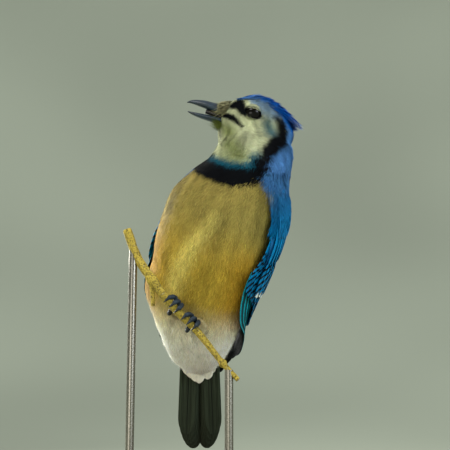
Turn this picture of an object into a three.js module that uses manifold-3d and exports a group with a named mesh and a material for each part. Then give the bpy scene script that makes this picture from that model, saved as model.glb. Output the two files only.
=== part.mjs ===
// A blue jay at life size, clinging to a cut length of twig on a round display stand.
// Millimetres, +Z up. The origin is the middle of the underside of the base. The breast
// faces -Y and a little to -X, the bill points to -X and the tail hangs towards +Y.

import * as THREE from 'three';
import { mergeVertices } from 'three/addons/utils/BufferGeometryUtils.js';
import Module from 'manifold-3d';

const wasm = await Module();
wasm.setup();

// Driving dimensions
const GAP = 0.3; // left between two pieces that touch

const BASE_RADIUS = 76;
const BASE_HEIGHT = 10;
const BASE_EDGE = 1.6;
const ROD_RADIUS = 2.4;
const TALL_ROD = new THREE.Vector2(-45.5, -35.2);
const SHORT_ROD = new THREE.Vector2(10.2, -47.4);

// The middle line of the twig from its upper cut end, and its radius there
const PERCH = [
  [-49.5, -34, 140.4, 2.6],
  [-41.4, -36, 121.0, 2.5],
  [-23.5, -39, 96.7, 2.5],
  [-7.9, -42, 80.3, 2.1],
  [5.2, -46, 63.7, 1.6],
  [15.2, -49, 52.5, 1.3],
];

// Cross-sections of the trunk from inside the head down to the vent: the middle, the
// heading of the breast in degrees, half the width, the depth in front and behind
const TRUNK = [
  [27.4, -26, 205.5, -178, 14.5, 19, 19],
  [28.0, -26, 191.6, -170, 19.5, 26, 23.5],
  [22.3, -28, 179.8, -146, 26.5, 24, 26.5],
  [15.6, -28, 168.0, -124, 31, 27, 28],
  [8.2, -27, 156.5, -116, 33.5, 29.5, 28],
  [3.8, -24, 145.6, -114, 34.5, 30.5, 27.5],
  [0.2, -20, 133.6, -112, 35, 30.5, 27],
  [-3.2, -14, 121.2, -110, 34, 29.5, 25.5],
  [-7.8, -7, 108.2, -106, 33, 28, 23],
  [-8.9, 0, 95.7, -102, 28.4, 25, 19.5],
  [-9.1, 8, 84.3, -98, 23.6, 20.5, 15],
  [-9.4, 16, 74.0, -95, 18, 15, 10.5],
  [-9.2, 24, 65.0, -95, 9, 7, 5],
];

// The way up through the trunk at equal steps from the head down to the vent
const LEANS = [
  [0.05, -0.05, 1],
  [0.32, -0.08, 0.94],
  [0.27, -0.33, 0.9],
  [0.12, -0.5, 0.86],
  [0, -0.62, 0.78],
];

// The head in its own frame: x forward along the bill, y to the bird's left, z to the crown
const HEAD_MIDDLE = new THREE.Vector3(25.1, -25, 215.7);
const HEAD_LIFT = 22; // degrees that the bill points above the level
const HEAD_LEAN = 15; // degrees that the crown leans towards -Y

// Cross-sections of the head from the face back to the nape: x, crown, throat, half width
const HEAD = [
  [17, -0.6, -17.2, 6.4],
  [14, 2.4, -24.5, 8.6],
  [8, 7.2, -28.5, 11.2],
  [1, 11, -30, 13.1],
  [-6, 11.6, -30, 14],
  [-13, 9.6, -28, 13.8],
  [-19, 6.0, -23, 12.2],
  [-24, 1.4, -16, 9.0],
  [-27, -4, -11, 4.0],
];

// Crest feathers in rows, laid back: x and z of the roots, x and z of the tips, how many,
// and how far apart
const CREST = [
  [7, 6.6, -11.5, 11.6, 3, 5],
  [0, 9.6, -18.5, 8.9, 4, 3.8],
  [-7, 10, -24.5, 5.4, 3, 4.2],
  [-13, 8.2, -29.3, 1.4, 3, 3],
];
const CREST_WIDTH = 6.4;

// Stiff feathers over the base of the bill: x, y and z of the root and of the tip
const BRISTLES = [
  [11, 7.6, -1.5, 22.5, 5.0, -3.6],
  [11, 8.6, -3.8, 23.5, 5.2, -5.2],
  [11, 9.2, -6.2, 22, 5.3, -6.6],
  [12, 2.2, 1.2, 24, 1.7, -2.1],
];
const BRISTLE_WIDTH = 3.4;
const CHIN_FEATHERS = [
  [11, 5.2, -16.5, 21, 3.4, -15.7],
  [12, 1.9, -17.5, 24, 1.4, -16.2],
];
const MOUTH_LINE = [[17.4, -9.3], [12, -9.7], [7, -10.4], [2, -11.6]];
const MOUTH_DEPTH = 0.5;

// The bill: x, upper edge, lower edge, half width
const UPPER_BILL = [
  [17.3, -2.0, -8.7, 4.7],
  [23.3, -3.3, -8.8, 4.2],
  [29.5, -4.1, -8.8, 3.3],
  [35, -5.8, -8.9, 2.0],
  [38, -7.4, -9.2, 1.0],
  [39.6, -9.0, -9.7, 0.3],
];
const LOWER_BILL = [
  [17.3, -10.2, -14.6, 4.2],
  [22, -11.0, -15.0, 3.8],
  [27, -12.0, -15.3, 3.1],
  [32, -13.0, -15.3, 2.1],
  [35.5, -13.7, -15.0, 1.1],
  [37.3, -14.1, -14.5, 0.4],
];

const EYE_RADIUS = 5.5;
const EYE_OUT = 8.8;
const EYE_DROP = -1;
const LID_RADIUS = 4.3;
const LID_THICKNESS = 0.8;

// The lower and the upper edge of a folded wing, from the wrist towards its tip: the place
// along the trunk, the angle round it from the breast in degrees, and the lift off it
const WING_LOWER = [
  [0.235, 73, 1.2],
  [0.33, 84, 1.6],
  [0.44, 80, 1.8],
  [0.53, 66, 1.8],
  [0.6, 64, 1.8],
  [0.7, 69, 1.8],
  [0.8, 90, 2.2],
];
const WING_UPPER = [
  [0.2, 106, 1.2],
  [0.3, 126, 1.6],
  [0.42, 140, 1.8],
  [0.54, 148, 1.8],
  [0.66, 154, 2.2],
  [0.78, 160, 3.4],
];
const WING_TIP_LEFT = new THREE.Vector3(5.2, 42, 59.4);
const WING_TIP_WIDTH = 5;
const WING_CURVE = 26; // radius of the wing's curve across
const WING_TUCK_RIGHT = 22; // degrees that the right wing lies nearer to the back

// Feathers of a folded wing in tiers. Each tier runs from its lowest feather to its highest:
// the roots and tips as shares of the way along the wing and up it, the width, how far the
// tier lies off the trunk, and how steeply each feather tilts to pass under the next
const WING_TIERS = [
  {
    root: [[0.34, 0.06], [0.44, 0.5]],
    tip: [[0.84, 0.03], [0.99, 0.9]],
    count: 6,
    width: 8.5,
    lift: 1.5,
    tilt: 0.14,
    rows: 3,
  },
  {
    root: [[0.3, 0.3], [0.34, 0.86]],
    tip: [[0.68, 0.3], [0.76, 0.9]],
    count: 6,
    width: 9.5,
    lift: 3.2,
    tilt: 0.14,
    rows: 3,
  },
  {
    root: [[0.2, 0.04], [0.22, 0.2]],
    tip: [[0.42, 0.03], [0.5, 0.19]],
    count: 3,
    width: 6,
    lift: 2.9,
    tilt: 0.12,
    rows: 2,
  },
  {
    root: [[0.22, 0.22], [0.24, 0.88]],
    tip: [[0.45, 0.2], [0.49, 0.92]],
    count: 6,
    width: 9,
    lift: 4.5,
    tilt: 0.12,
    rows: 2,
  },
  {
    root: [[0.12, 0.16], [0.13, 0.86]],
    tip: [[0.28, 0.14], [0.3, 0.9]],
    count: 5,
    width: 9.5,
    lift: 5.4,
    tilt: 0.11,
    rows: 2,
  },
  {
    root: [[0.04, 0.24], [0.05, 0.76]],
    tip: [[0.16, 0.18], [0.17, 0.82]],
    count: 4,
    width: 10,
    lift: 6.2,
    tilt: 0.1,
    rows: 2,
  },
];

// The tail hangs from the rump; its feathers lie in pairs, the outer ones shorter and beneath
const TAIL_ROOT = new THREE.Vector3(-7.6, 9, 103);
const TAIL_TIP = new THREE.Vector3(-8.6, 73, 14.5);
const TAIL_START = 13; // from the root to where the feathers leave the rump
const TAIL_PAIRS = 6;
const TAIL_FEATHER = 12;
const TAIL_FAN = 0.42; // degrees between neighbours
const TAIL_STEP = 0.86; // from one layer to the next
const TAIL_SHORTER = [0, 0.6, 2.2, 5, 9, 14];

// Feathers over and under the root of the tail: places along it, how far out through its
// upper face at the root and at the tip, how many, how far apart and how wide
const RUMP_FEATHERS = [
  [3, 0.5, 33, 1.1, 3, 6.5, 9],
  [1, 1.8, 24, 2.3, 4, 5.5, 9],
];
const VENT_FEATHERS = [
  [27, -8.9, 54, -6.4, 5, 4.1, 8.4],
  [23, -11.3, 47, -8.1, 4, 5.2, 9.2],
];

// A fork of the twig, cut short, and its knots: the place along it and the size
const STUB = [new THREE.Vector3(-34.7, -37, 108), new THREE.Vector3(-33.5, -36, 95.3)];
const STUB_RADIUS = 1.5;
const KNOTS = [[0.29, 3.3], [0.83, 2.4]];

// Toes grip the twig as arcs round it, in degrees from the side next to the bird
const TOE_RADIUS = 1.3;
const TOE_SPREAD = 4.3;
const FRONT_ARC = [8, 168];
const HIND_ARC = [-12, -84];
const CLAW_ARC = 48;
const SCUTES = 4;
const SHANK_RADIUS = 1.5;
const THIGH_RADIUS = [7.5, 2.7];
const THIGH_SHARE = 0.45; // of the way from the body to the foot
const CLAW_RADIUS = 0.85;

// Finishes: colour, roughness, metalness
const FINISHES = {
  breast: [0xb9a06a, 0.9, 0],
  white: [0xd9d6c8, 0.9, 0],
  blue: [0x3f7fb8, 0.8, 0],
  horn: [0x1c2227, 0.45, 0],
  eye: [0x0a0705, 0.08, 0],
  leg: [0x1f2326, 0.6, 0],
  bark: [0x6b5a33, 0.85, 0],
  board: [0x2b2723, 0.5, 0],
  rod: [0x8f8a80, 0.35, 0.9],
};

// Closed meshes and solids

// Six times the volume inside a closed mesh, negative where its faces point inwards
function signedVolume(place, faces) {
  const corner = [0, 1, 2].map(() => new THREE.Vector3());
  let sum = 0;
  for (let i = 0; i < faces.length; i += 3) {
    corner.forEach((point, k) => point.fromArray(place, 3 * faces[i + k]));
    sum += corner[0].dot(corner[1].clone().cross(corner[2]));
  }
  return sum;
}

function solidOf(geometry) {
  const bare = geometry.clone();
  bare.deleteAttribute('normal');
  bare.deleteAttribute('uv');
  const merged = mergeVertices(bare, 1e-4);
  const vertProperties = new Float32Array(merged.getAttribute('position').array);
  const triVerts = new Uint32Array(merged.getIndex().array);
  if (signedVolume(vertProperties, triVerts) < 0) {
    triVerts.reverse();
  }
  return new wasm.Manifold(new wasm.Mesh({ numProp: 3, vertProperties, triVerts }));
}

function largest(solid) {
  const pieces = solid.decompose();
  return pieces.reduce((a, b) => (a.volume() >= b.volume() ? a : b));
}

function geometryOf(solid) {
  const { vertProperties, triVerts } = solid.getMesh();
  const geometry = new THREE.BufferGeometry();
  geometry.setAttribute('position', new THREE.BufferAttribute(vertProperties, 3));
  geometry.setIndex(new THREE.BufferAttribute(triVerts, 1));
  return geometry;
}

function union(solids) {
  return solids.reduce((whole, solid) => whole.add(solid));
}

// A closed body swept through cross-sections. section(t) gives the middle of one, the
// directions up, front and side, and the half sizes to the side, in front and behind.
function sweep(section, sides, rings) {
  const geometry = new THREE.CylinderGeometry(1, 1, 1, sides, rings);
  const place = geometry.getAttribute('position');
  const point = new THREE.Vector3();
  for (let i = 0; i < place.count; i += 1) {
    point.fromBufferAttribute(place, i);
    const cut = section(0.5 - point.y);
    const depth = point.z > 0 ? cut.front : cut.back;
    const spot = cut.middle.clone();
    spot.addScaledVector(cut.sideways, point.x * cut.half);
    spot.addScaledVector(cut.forward, point.z * depth);
    place.setXYZ(i, spot.x, spot.y, spot.z);
  }
  return solidOf(geometry);
}

// A round rod along a curve, with radius(t)
function tube(curve, radius, sides, rings) {
  return sweep((t) => {
    const up = curve.getTangent(t).negate();
    const forward = new THREE.Vector3(0.3, 0.1, 1);
    forward.addScaledVector(up, -forward.dot(up)).normalize();
    const size = radius(t);
    return {
      middle: curve.getPoint(t),
      forward,
      sideways: up.clone().cross(forward),
      half: size,
      front: size,
      back: size,
    };
  }, sides, rings);
}

// Reads rows of numbers as smooth functions of t, from the first row to the last
function smoothRows(rows, columns) {
  const points = rows.map((row) => new THREE.Vector3(...columns.map((k) => row[k])));
  return new THREE.CatmullRomCurve3(points, false, 'catmullrom', 0.5);
}

// A box far larger than the bird, with its top face on a plane
const FAR = 400;
function below(point, normal, drop) {
  const box = new THREE.BoxGeometry(FAR, FAR, FAR);
  box.translate(0, 0, -FAR / 2 - drop);
  const turn = new THREE.Quaternion().setFromUnitVectors(new THREE.Vector3(0, 0, 1), normal);
  box.applyQuaternion(turn);
  box.translate(point.x, point.y, point.z);
  return solidOf(box);
}

// The trunk
const trunkMiddle = smoothRows(TRUNK, [0, 1, 2]);
const trunkSize = smoothRows(TRUNK, [4, 5, 6]);
const trunkHeading = smoothRows(TRUNK, [3, 3, 3]);
const trunkLean = smoothRows(LEANS, [0, 1, 2]);

function trunkSection(t, swell = 0) {
  const middle = trunkMiddle.getPoint(t);
  const up = trunkLean.getPoint(t).normalize();
  const size = trunkSize.getPoint(t);
  const heading = THREE.MathUtils.degToRad(trunkHeading.getPoint(t).x);
  const forward = new THREE.Vector3(Math.cos(heading), Math.sin(heading), 0);
  forward.addScaledVector(up, -forward.dot(up)).normalize();
  const sideways = up.clone().cross(forward);
  return {
    middle,
    up,
    forward,
    sideways,
    half: size.x + swell,
    front: size.y + swell,
    back: size.z + swell,
  };
}

const trunk = sweep((t) => trunkSection(t), 24, 20);
const clearOfTrunk = sweep((t) => trunkSection(t, GAP * 1.3), 24, 20);

// Feathers

// A thin closed plate. spot(u, v) gives the middle of its sheet, its normal and its thickness,
// with u from -1 to 1 across and v from 0 to 1 along. Both faces are split into triangles alike.
function plate(across, along, spot) {
  const grid = new THREE.PlaneGeometry(2, 1, across, along);
  const place = grid.getAttribute('position');
  const upper = Array.from(grid.getIndex().array);
  const count = place.count;
  const corners = [];
  for (const side of [0.5, -0.5]) {
    for (let i = 0; i < count; i += 1) {
      const sheet = spot(place.getX(i), 0.5 - place.getY(i));
      const point = sheet.point.clone().addScaledVector(sheet.normal, side * sheet.thickness);
      corners.push(point.x, point.y, point.z);
    }
  }
  const lower = upper.map((corner) => corner + count).reverse();
  const columns = across + 1;
  const border = [];
  for (let i = 0; i < across; i += 1) border.push(i);
  for (let j = 0; j < along; j += 1) border.push(j * columns + across);
  for (let i = across; i > 0; i -= 1) border.push(along * columns + i);
  for (let j = along; j > 0; j -= 1) border.push(j * columns);
  const rim = border.flatMap((corner, k) => {
    const next = border[(k + 1) % border.length];
    return [corner, next, next + count, corner, next + count, corner + count];
  });
  const geometry = new THREE.BufferGeometry();
  geometry.setAttribute('position', new THREE.Float32BufferAttribute(corners, 3));
  geometry.setIndex([...upper, ...lower, ...rim]);
  return solidOf(geometry);
}

// How wide a feather is along its length, from its narrow root to its rounded tip
function featherShare(v) {
  const growth = THREE.MathUtils.smoothstep(v, -0.25, 0.4);
  const rounding = v > 0.82 ? Math.sqrt(1 - 0.86 * ((v - 0.82) / 0.18) ** 2) : 1;
  return growth * rounding;
}

// One feather. path(v) gives a point of its shaft, the way across it and its normal; its rows
// lie closer together towards the tip.
function feather(path, width, rows, thickness = [0.75, 0.45], inner = -Infinity) {
  return plate(1, rows, (u, row) => {
    const v = 1 - (1 - row) ** 2;
    const spot = path(v);
    const reach = Math.max(u * 0.5 * width * featherShare(v), inner - (spot.offset ?? 0));
    return {
      point: spot.point.clone().addScaledVector(spot.across, reach),
      normal: spot.normal,
      thickness: THREE.MathUtils.lerp(thickness[0], thickness[1], v),
    };
  });
}

// The head
const lift = THREE.MathUtils.degToRad(HEAD_LIFT);
const lean = THREE.MathUtils.degToRad(HEAD_LEAN);
const leftward = new THREE.Vector3(0, -Math.cos(lean), -Math.sin(lean));
const imageUp = new THREE.Vector3(0, -Math.sin(lean), Math.cos(lean));
const billward = new THREE.Vector3(-Math.cos(lift), 0, 0).addScaledVector(imageUp, Math.sin(lift));
const crownward = new THREE.Vector3(Math.sin(lift), 0, 0).addScaledVector(imageUp, Math.cos(lift));

function onHead(x, y, z) {
  const point = HEAD_MIDDLE.clone();
  point.addScaledVector(billward, x);
  point.addScaledVector(leftward, y);
  point.addScaledVector(crownward, z);
  return point;
}

// A body swept along the bill's direction from rows of x, upper edge, lower edge, half width
function headSweep(rows, sides, rings, swell = 0) {
  const places = smoothRows(rows, [0, 1, 2]);
  const widths = smoothRows(rows, [3, 3, 3]);
  return sweep((t) => {
    const row = places.getPoint(t);
    const depth = (row.y - row.z) / 2 + swell;
    return {
      middle: onHead(row.x, 0, (row.y + row.z) / 2),
      forward: crownward,
      sideways: leftward.clone().negate(),
      half: widths.getPoint(t).x + swell,
      front: depth,
      back: depth,
    };
  }, sides, rings);
}

const skull = headSweep(HEAD, 24, 12);
const whole = trunk.add(skull);

const HEAD_SEAM = new THREE.Vector3(25.6, -26, 198.5);
const NECK_SEAM = new THREE.Vector3(15.8, -28, 174.5);
const neckUp = new THREE.Vector3(0.4, 0, 0.917);

function eyeSolid(side, swell = 0) {
  const ball = new THREE.IcosahedronGeometry(EYE_RADIUS + swell, 3);
  const spot = onHead(0, side * EYE_OUT, EYE_DROP);
  ball.translate(spot.x, spot.y, spot.z);
  return solidOf(ball);
}

function lidSolid(side) {
  const ring = new THREE.TorusGeometry(LID_RADIUS, LID_THICKNESS, 5, 16);
  const turn = new THREE.Quaternion();
  turn.setFromUnitVectors(new THREE.Vector3(0, 0, 1), leftward);
  ring.applyQuaternion(turn);
  const spot = onHead(0, side * (EYE_OUT + 3.6), EYE_DROP);
  ring.translate(spot.x, spot.y, spot.z);
  return solidOf(ring);
}

// A feather on the head, bent between its root and its tip, facing out from the middle
function headFeather(root, tip, bulge, width, rows) {
  const from = onHead(...root);
  const to = onHead(...tip);
  const along = to.clone().sub(from).normalize();
  const middle = onHead(Math.min(root[0], 4), 0, -6);
  const normal = from.clone().add(to).multiplyScalar(0.5).sub(middle);
  normal.addScaledVector(along, -normal.dot(along)).normalize();
  const across = along.clone().cross(normal);
  return feather((v) => {
    const point = from.clone().lerp(to, v).addScaledVector(normal, bulge * 4 * v * (1 - v));
    return { point, across, normal };
  }, width, rows);
}

// The place on the skull at x and z in the head's frame, on one side
function onSkull(x, z, side) {
  const edges = smoothRows(HEAD, [0, 1, 2]);
  const widths = smoothRows(HEAD, [3, 3, 3]);
  let [front, rear] = [0, 1];
  for (let i = 0; i < 24; i += 1) {
    const middle = (front + rear) / 2;
    if (edges.getPoint(middle).x > x) front = middle;
    else rear = middle;
  }
  const row = edges.getPoint(front);
  const height = (2 * z - row.y - row.z) / (row.y - row.z);
  return onHead(x, side * widths.getPoint(front).x * Math.sqrt(1 - height * height), z);
}

function headFeathers() {
  const crest = CREST.flatMap(([x0, z0, x1, z1, count, apart]) => (
    Array.from({ length: count }, (_, k) => {
      const y = (k - (count - 1) / 2) * apart;
      const drop = 0.045 * y * y;
      return headFeather([x0, y, z0 - drop], [x1, y * 0.8, z1 - drop], 1.4, CREST_WIDTH, 2);
    })
  ));
  const sides = [1, -1].flatMap((side) => [...BRISTLES, ...CHIN_FEATHERS].map((row) => {
    const [x0, y0, z0, x1, y1, z1] = row;
    return headFeather([x0, side * y0, z0], [x1, side * y1, z1], 0.3, BRISTLE_WIDTH, 2);
  }));
  return [...crest, ...sides];
}

function headSolid() {
  let head = union([whole.subtract(below(HEAD_SEAM, imageUp, -GAP / 2)), ...headFeathers()]);
  for (const rows of [UPPER_BILL, LOWER_BILL]) {
    head = head.subtract(headSweep(rows, 10, 8, GAP * 1.2));
  }
  for (const side of [1, -1]) {
    const mouth = new THREE.CatmullRomCurve3(MOUTH_LINE.map(([x, z]) => onSkull(x, z, side)));
    head = head.subtract(tube(mouth, () => MOUTH_DEPTH, 5, 6));
    head = head.add(lidSolid(side)).subtract(eyeSolid(side, GAP));
  }
  return largest(head);
}

const neck = largest(
  whole.intersect(below(HEAD_SEAM, imageUp, GAP / 2)).subtract(below(NECK_SEAM, neckUp, -GAP / 2)),
);
// The wings
function onTrunk(t, degrees, swell) {
  const cut = trunkSection(t, swell);
  const angle = THREE.MathUtils.degToRad(degrees);
  const depth = Math.cos(angle) > 0 ? cut.front : cut.back;
  const point = cut.middle.clone();
  point.addScaledVector(cut.sideways, Math.sin(angle) * cut.half);
  return point.addScaledVector(cut.forward, Math.cos(angle) * depth);
}

function wingTip(side) {
  const cut = trunkSection(1);
  const away = WING_TIP_LEFT.clone().sub(cut.middle).dot(cut.sideways);
  const mirror = side > 0 ? 0 : -2 * away;
  return WING_TIP_LEFT.clone().addScaledVector(cut.sideways, mirror);
}

// A point at a share p of the way along a folded wing and q of the way up it, lifted off it
function wingSurface(side) {
  const end = trunkSection(1);
  const tuck = side > 0 ? 0 : WING_TUCK_RIGHT;
  const edge = (rows, shift) => {
    const points = rows.map(([t, degrees, off]) => {
      const angle = degrees + tuck * (1 - (degrees - 70) / 110);
      return onTrunk(t, side * angle, off);
    });
    points.push(wingTip(side).addScaledVector(end.sideways, side * shift * WING_TIP_WIDTH / 2));
    return new THREE.CatmullRomCurve3(points);
  };
  const lower = edge(WING_LOWER, 1);
  const upper = edge(WING_UPPER, -1);
  const flat = (p, q) => lower.getPointAt(p).lerp(upper.getPointAt(p), q);
  const step = 0.01;
  return (p, q, off) => {
    const at = Math.min(Math.max(p, step), 1 - step);
    const along = flat(at + step, q).sub(flat(at - step, q)).normalize();
    const across = flat(at, 1).sub(flat(at, 0));
    const chord = across.length();
    across.normalize();
    const outward = along.clone().cross(across).multiplyScalar(side).normalize();
    const turn = (q - 0.5) * chord / WING_CURVE;
    const normal = outward.clone().multiplyScalar(Math.cos(turn));
    normal.addScaledVector(across, Math.sin(turn)).normalize();
    const rise = (0.25 - (q - 0.5) ** 2) * chord * chord / (2 * WING_CURVE);
    const thin = THREE.MathUtils.lerp(0.45, 1, THREE.MathUtils.smoothstep(p, 0, 0.3));
    const point = flat(at, q).addScaledVector(outward, rise).addScaledVector(normal, off * thin);
    point.addScaledVector(along, (p - at) * lower.getLength());
    return { point, along, across: normal.clone().cross(along).multiplyScalar(side), normal };
  };
}

function wingSolid(side) {
  const surface = wingSurface(side);
  const core = plate(3, 5, (u, v) => {
    const p = THREE.MathUtils.lerp(-0.03, 0.52, v);
    const round = THREE.MathUtils.smoothstep(p, -0.06, 0.12);
    const q = 0.5 + 0.45 * u * THREE.MathUtils.lerp(0.3, 1, round);
    const spot = surface(p, q, THREE.MathUtils.lerp(3.1, 2.3, v));
    const thickness = THREE.MathUtils.lerp(5, 3, v) * (1 - 0.4 * u * u) * THREE.MathUtils.lerp(0.3, 1, round);
    return { point: spot.point, normal: spot.normal, thickness };
  });
  const vanes = WING_TIERS.flatMap((tier) => Array.from({ length: tier.count }, (_, k) => {
    const share = k / (tier.count - 1);
    const root = [0, 1].map((i) => THREE.MathUtils.lerp(tier.root[0][i], tier.root[1][i], share));
    const tip = [0, 1].map((i) => THREE.MathUtils.lerp(tier.tip[0][i], tier.tip[1][i], share));
    return feather((v) => {
      const p = THREE.MathUtils.lerp(root[0], tip[0], v);
      const q = THREE.MathUtils.lerp(root[1], tip[1], v);
      const sunk = Math.min(0, 2.4 * (v - 0.45));
      const spot = surface(p, q, tier.lift + sunk);
      const tilted = spot.normal.clone().addScaledVector(spot.across, tier.tilt).normalize();
      const across = spot.across.clone().addScaledVector(spot.normal, -tier.tilt).normalize();
      return { point: spot.point, across, normal: tilted };
    }, tier.width, tier.rows);
  }));
  return largest(union([core, ...vanes]).subtract(clearOfTrunk));
}

// The tail
const tailward = TAIL_TIP.clone().sub(TAIL_ROOT).normalize();
const tailLeft = new THREE.Vector3(1, 0, 0).addScaledVector(tailward, -tailward.x).normalize();
const tailBack = tailLeft.clone().cross(tailward);

// A point of the tail: how far along it, to the bird's left, and out through its upper face
function onTail(along, left, back) {
  const point = TAIL_ROOT.clone().addScaledVector(tailward, along);
  return point.addScaledVector(tailLeft, left).addScaledVector(tailBack, back);
}

function tailBlock(size, along, back) {
  const block = new THREE.BoxGeometry(...size);
  const turn = new THREE.Matrix4().makeBasis(tailLeft, tailBack, tailward);
  block.applyMatrix4(turn);
  const middle = onTail(along, 0, back);
  block.translate(middle.x, middle.y, middle.z);
  return solidOf(block);
}

const TAIL_LAYERS = TAIL_STEP * (TAIL_PAIRS - 1);

// The hollow in the rump that the tail leaves from, open behind and to both sides
const ROOM_DEPTH = 60;
const tailRoom = tailBlock(
  [80, ROOM_DEPTH, 60],
  TAIL_START + 30,
  ROOM_DEPTH / 2 - TAIL_LAYERS - 1.1,
);

// A row of feathers over or under the tail
function tailCoverts([start, startBack, end, endBack, count, apart, width], facing) {
  return Array.from({ length: count }, (_, k) => {
    const left = (k - (count - 1) / 2) * apart;
    const across = tailLeft.clone();
    return feather((v) => {
      const along = THREE.MathUtils.lerp(start, end - 0.6 * Math.abs(left), v);
      const back = THREE.MathUtils.lerp(startBack, endBack, v) + facing * 0.05 * Math.abs(left);
      return { point: onTail(along, left, back), across, normal: tailBack };
    }, width, 3);
  });
}

function torsoSolid() {
  const body = whole.intersect(below(NECK_SEAM, neckUp, GAP / 2)).subtract(tailRoom);
  const rump = RUMP_FEATHERS.flatMap((row) => tailCoverts(row, 1));
  const vent = VENT_FEATHERS.flatMap((row) => tailCoverts(row, -1));
  return largest(union([largest(body), ...rump, ...vent]));
}

function tailSolid() {
  const length = TAIL_TIP.distanceTo(TAIL_ROOT);
  const block = tailBlock([9, TAIL_LAYERS + 0.6, 9], TAIL_START + 4.8, -TAIL_LAYERS / 2);
  const feathers = [];
  for (const side of [1, -1]) {
    for (let k = 0; k < TAIL_PAIRS; k += 1) {
      const angle = THREE.MathUtils.degToRad(TAIL_FAN * (k + 0.5));
      const end = length - TAIL_SHORTER[k];
      feathers.push(feather((v) => {
        const along = THREE.MathUtils.lerp(TAIL_START + 0.6, end, v);
        const offset = TAIL_FEATHER * 0.3 + 0.25 * k + Math.sin(angle) * along;
        const back = -TAIL_STEP * k - 0.003 * offset * offset;
        const across = tailLeft.clone().multiplyScalar(side);
        return { point: onTail(along, side * offset, back), across, normal: tailBack, offset };
      }, TAIL_FEATHER, 4, [0.7, 0.5], 0.2));
    }
  }
  return largest(union([block, ...feathers]).subtract(clearOfTrunk.subtract(tailRoom)));
}

// The perch
const perchPlace = smoothRows(PERCH, [0, 1, 2]);
const perchRadius = smoothRows(PERCH, [3, 3, 3]);

function perchSection(t, swell = 0) {
  const radius = perchRadius.getPoint(t).x + swell;
  const up = perchPlace.getTangent(t).negate();
  const forward = new THREE.Vector3(0, 1, 0);
  forward.addScaledVector(up, -forward.dot(up)).normalize();
  return {
    middle: perchPlace.getPoint(t),
    up,
    forward,
    sideways: up.clone().cross(forward),
    half: radius,
    front: radius,
    back: radius,
  };
}

const clearOfPerch = sweep((t) => perchSection(t, GAP * 1.2), 10, 18);

function perchSolid() {
  const knots = KNOTS.map(([t, radius]) => {
    const cut = perchSection(t);
    const knot = new THREE.IcosahedronGeometry(radius, 1);
    const turn = new THREE.Matrix4().makeBasis(cut.sideways, cut.forward, cut.up);
    knot.scale(1, 1, 1.6).applyMatrix4(turn);
    knot.translate(cut.middle.x, cut.middle.y, cut.middle.z);
    return solidOf(knot);
  });
  const stub = tube(new THREE.LineCurve3(...STUB), (t) => STUB_RADIUS * (1 - 0.25 * t), 8, 3);
  return largest(union([sweep((t) => perchSection(t), 10, 18), stub, ...knots]));
}

// The feet. A toe or a claw follows an arc round the twig, in degrees, while it moves along
// the twig from one offset to another.
function gripCurve(t, arc, offsets, reach) {
  const cut = perchSection(t);
  const down = cut.up.clone().negate();
  const over = down.clone().cross(cut.forward);
  return new THREE.CatmullRomCurve3([0, 0.2, 0.4, 0.6, 0.75, 0.9, 1].map((share) => {
    const angle = THREE.MathUtils.degToRad(THREE.MathUtils.lerp(arc[0], arc[1], share));
    const spot = cut.middle.clone();
    spot.addScaledVector(cut.forward, Math.cos(angle) * reach(share));
    spot.addScaledVector(over, Math.sin(angle) * reach(share));
    const shift = THREE.MathUtils.smoothstep(share, 0, 1);
    return spot.addScaledVector(down, THREE.MathUtils.lerp(offsets[0], offsets[1], shift));
  }));
}

// The four toes of a foot: the arc and the offsets along the twig
const TOES = [
  [FRONT_ARC, [-1.2, -TOE_SPREAD]],
  [FRONT_ARC, [0, 0]],
  [FRONT_ARC, [1.2, TOE_SPREAD]],
  [HIND_ARC, [0, 1.5]],
];

function legPlaces(t, hipSide) {
  const cut = perchSection(t);
  const reach = cut.half + TOE_RADIUS + GAP * 1.4;
  const foot = cut.middle.clone().addScaledVector(cut.forward, reach + 0.6);
  const trunkPlace = trunkSection(0.76);
  const hip = trunkPlace.middle.clone().addScaledVector(trunkPlace.sideways, hipSide * 9);
  return { reach, foot, hip };
}

// Where the leg leaves the body, from the hip to the foot
function kneePlace(foot, hip) {
  const leg = tube(new THREE.LineCurve3(foot, hip), () => 0.5, 6, 2).subtract(trunk);
  const box = largest(leg).boundingBox();
  return foot.clone().lerp(hip, (box.max[1] - foot.y) / (hip.y - foot.y));
}

function footSolid(t, hipSide) {
  const { reach, foot, hip } = legPlaces(t, hipSide);
  const toes = TOES.map(([arc, offsets]) => {
    const curve = gripCurve(t, arc, offsets, () => reach);
    const ripple = (share) => TOE_RADIUS * (1 - 0.09 * Math.cos(2 * Math.PI * SCUTES * share));
    return tube(curve, ripple, 6, SCUTES * 2);
  });
  const knee = kneePlace(foot, hip);
  const end = knee.clone().lerp(foot, THIGH_SHARE).addScaledVector(foot.clone().sub(knee).normalize(), GAP);
  const shank = tube(new THREE.LineCurve3(foot, end), () => SHANK_RADIUS, 8, 3);
  const heel = new THREE.IcosahedronGeometry(SHANK_RADIUS * 1.3, 1).translate(foot.x, foot.y, foot.z);
  return largest(union([...toes, solidOf(heel), shank]).subtract(clearOfPerch));
}

function thighSolid(t, hipSide) {
  const { foot, hip } = legPlaces(t, hipSide);
  const end = kneePlace(foot, hip).lerp(foot, THIGH_SHARE);
  const [wide, narrow] = THIGH_RADIUS;
  const thigh = tube(new THREE.LineCurve3(hip, end), (share) => {
    const along = THREE.MathUtils.smoothstep(share, 0.55, 1);
    return THREE.MathUtils.lerp(wide, narrow, along);
  }, 12, 10);
  return largest(thigh.subtract(clearOfTrunk));
}

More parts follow.
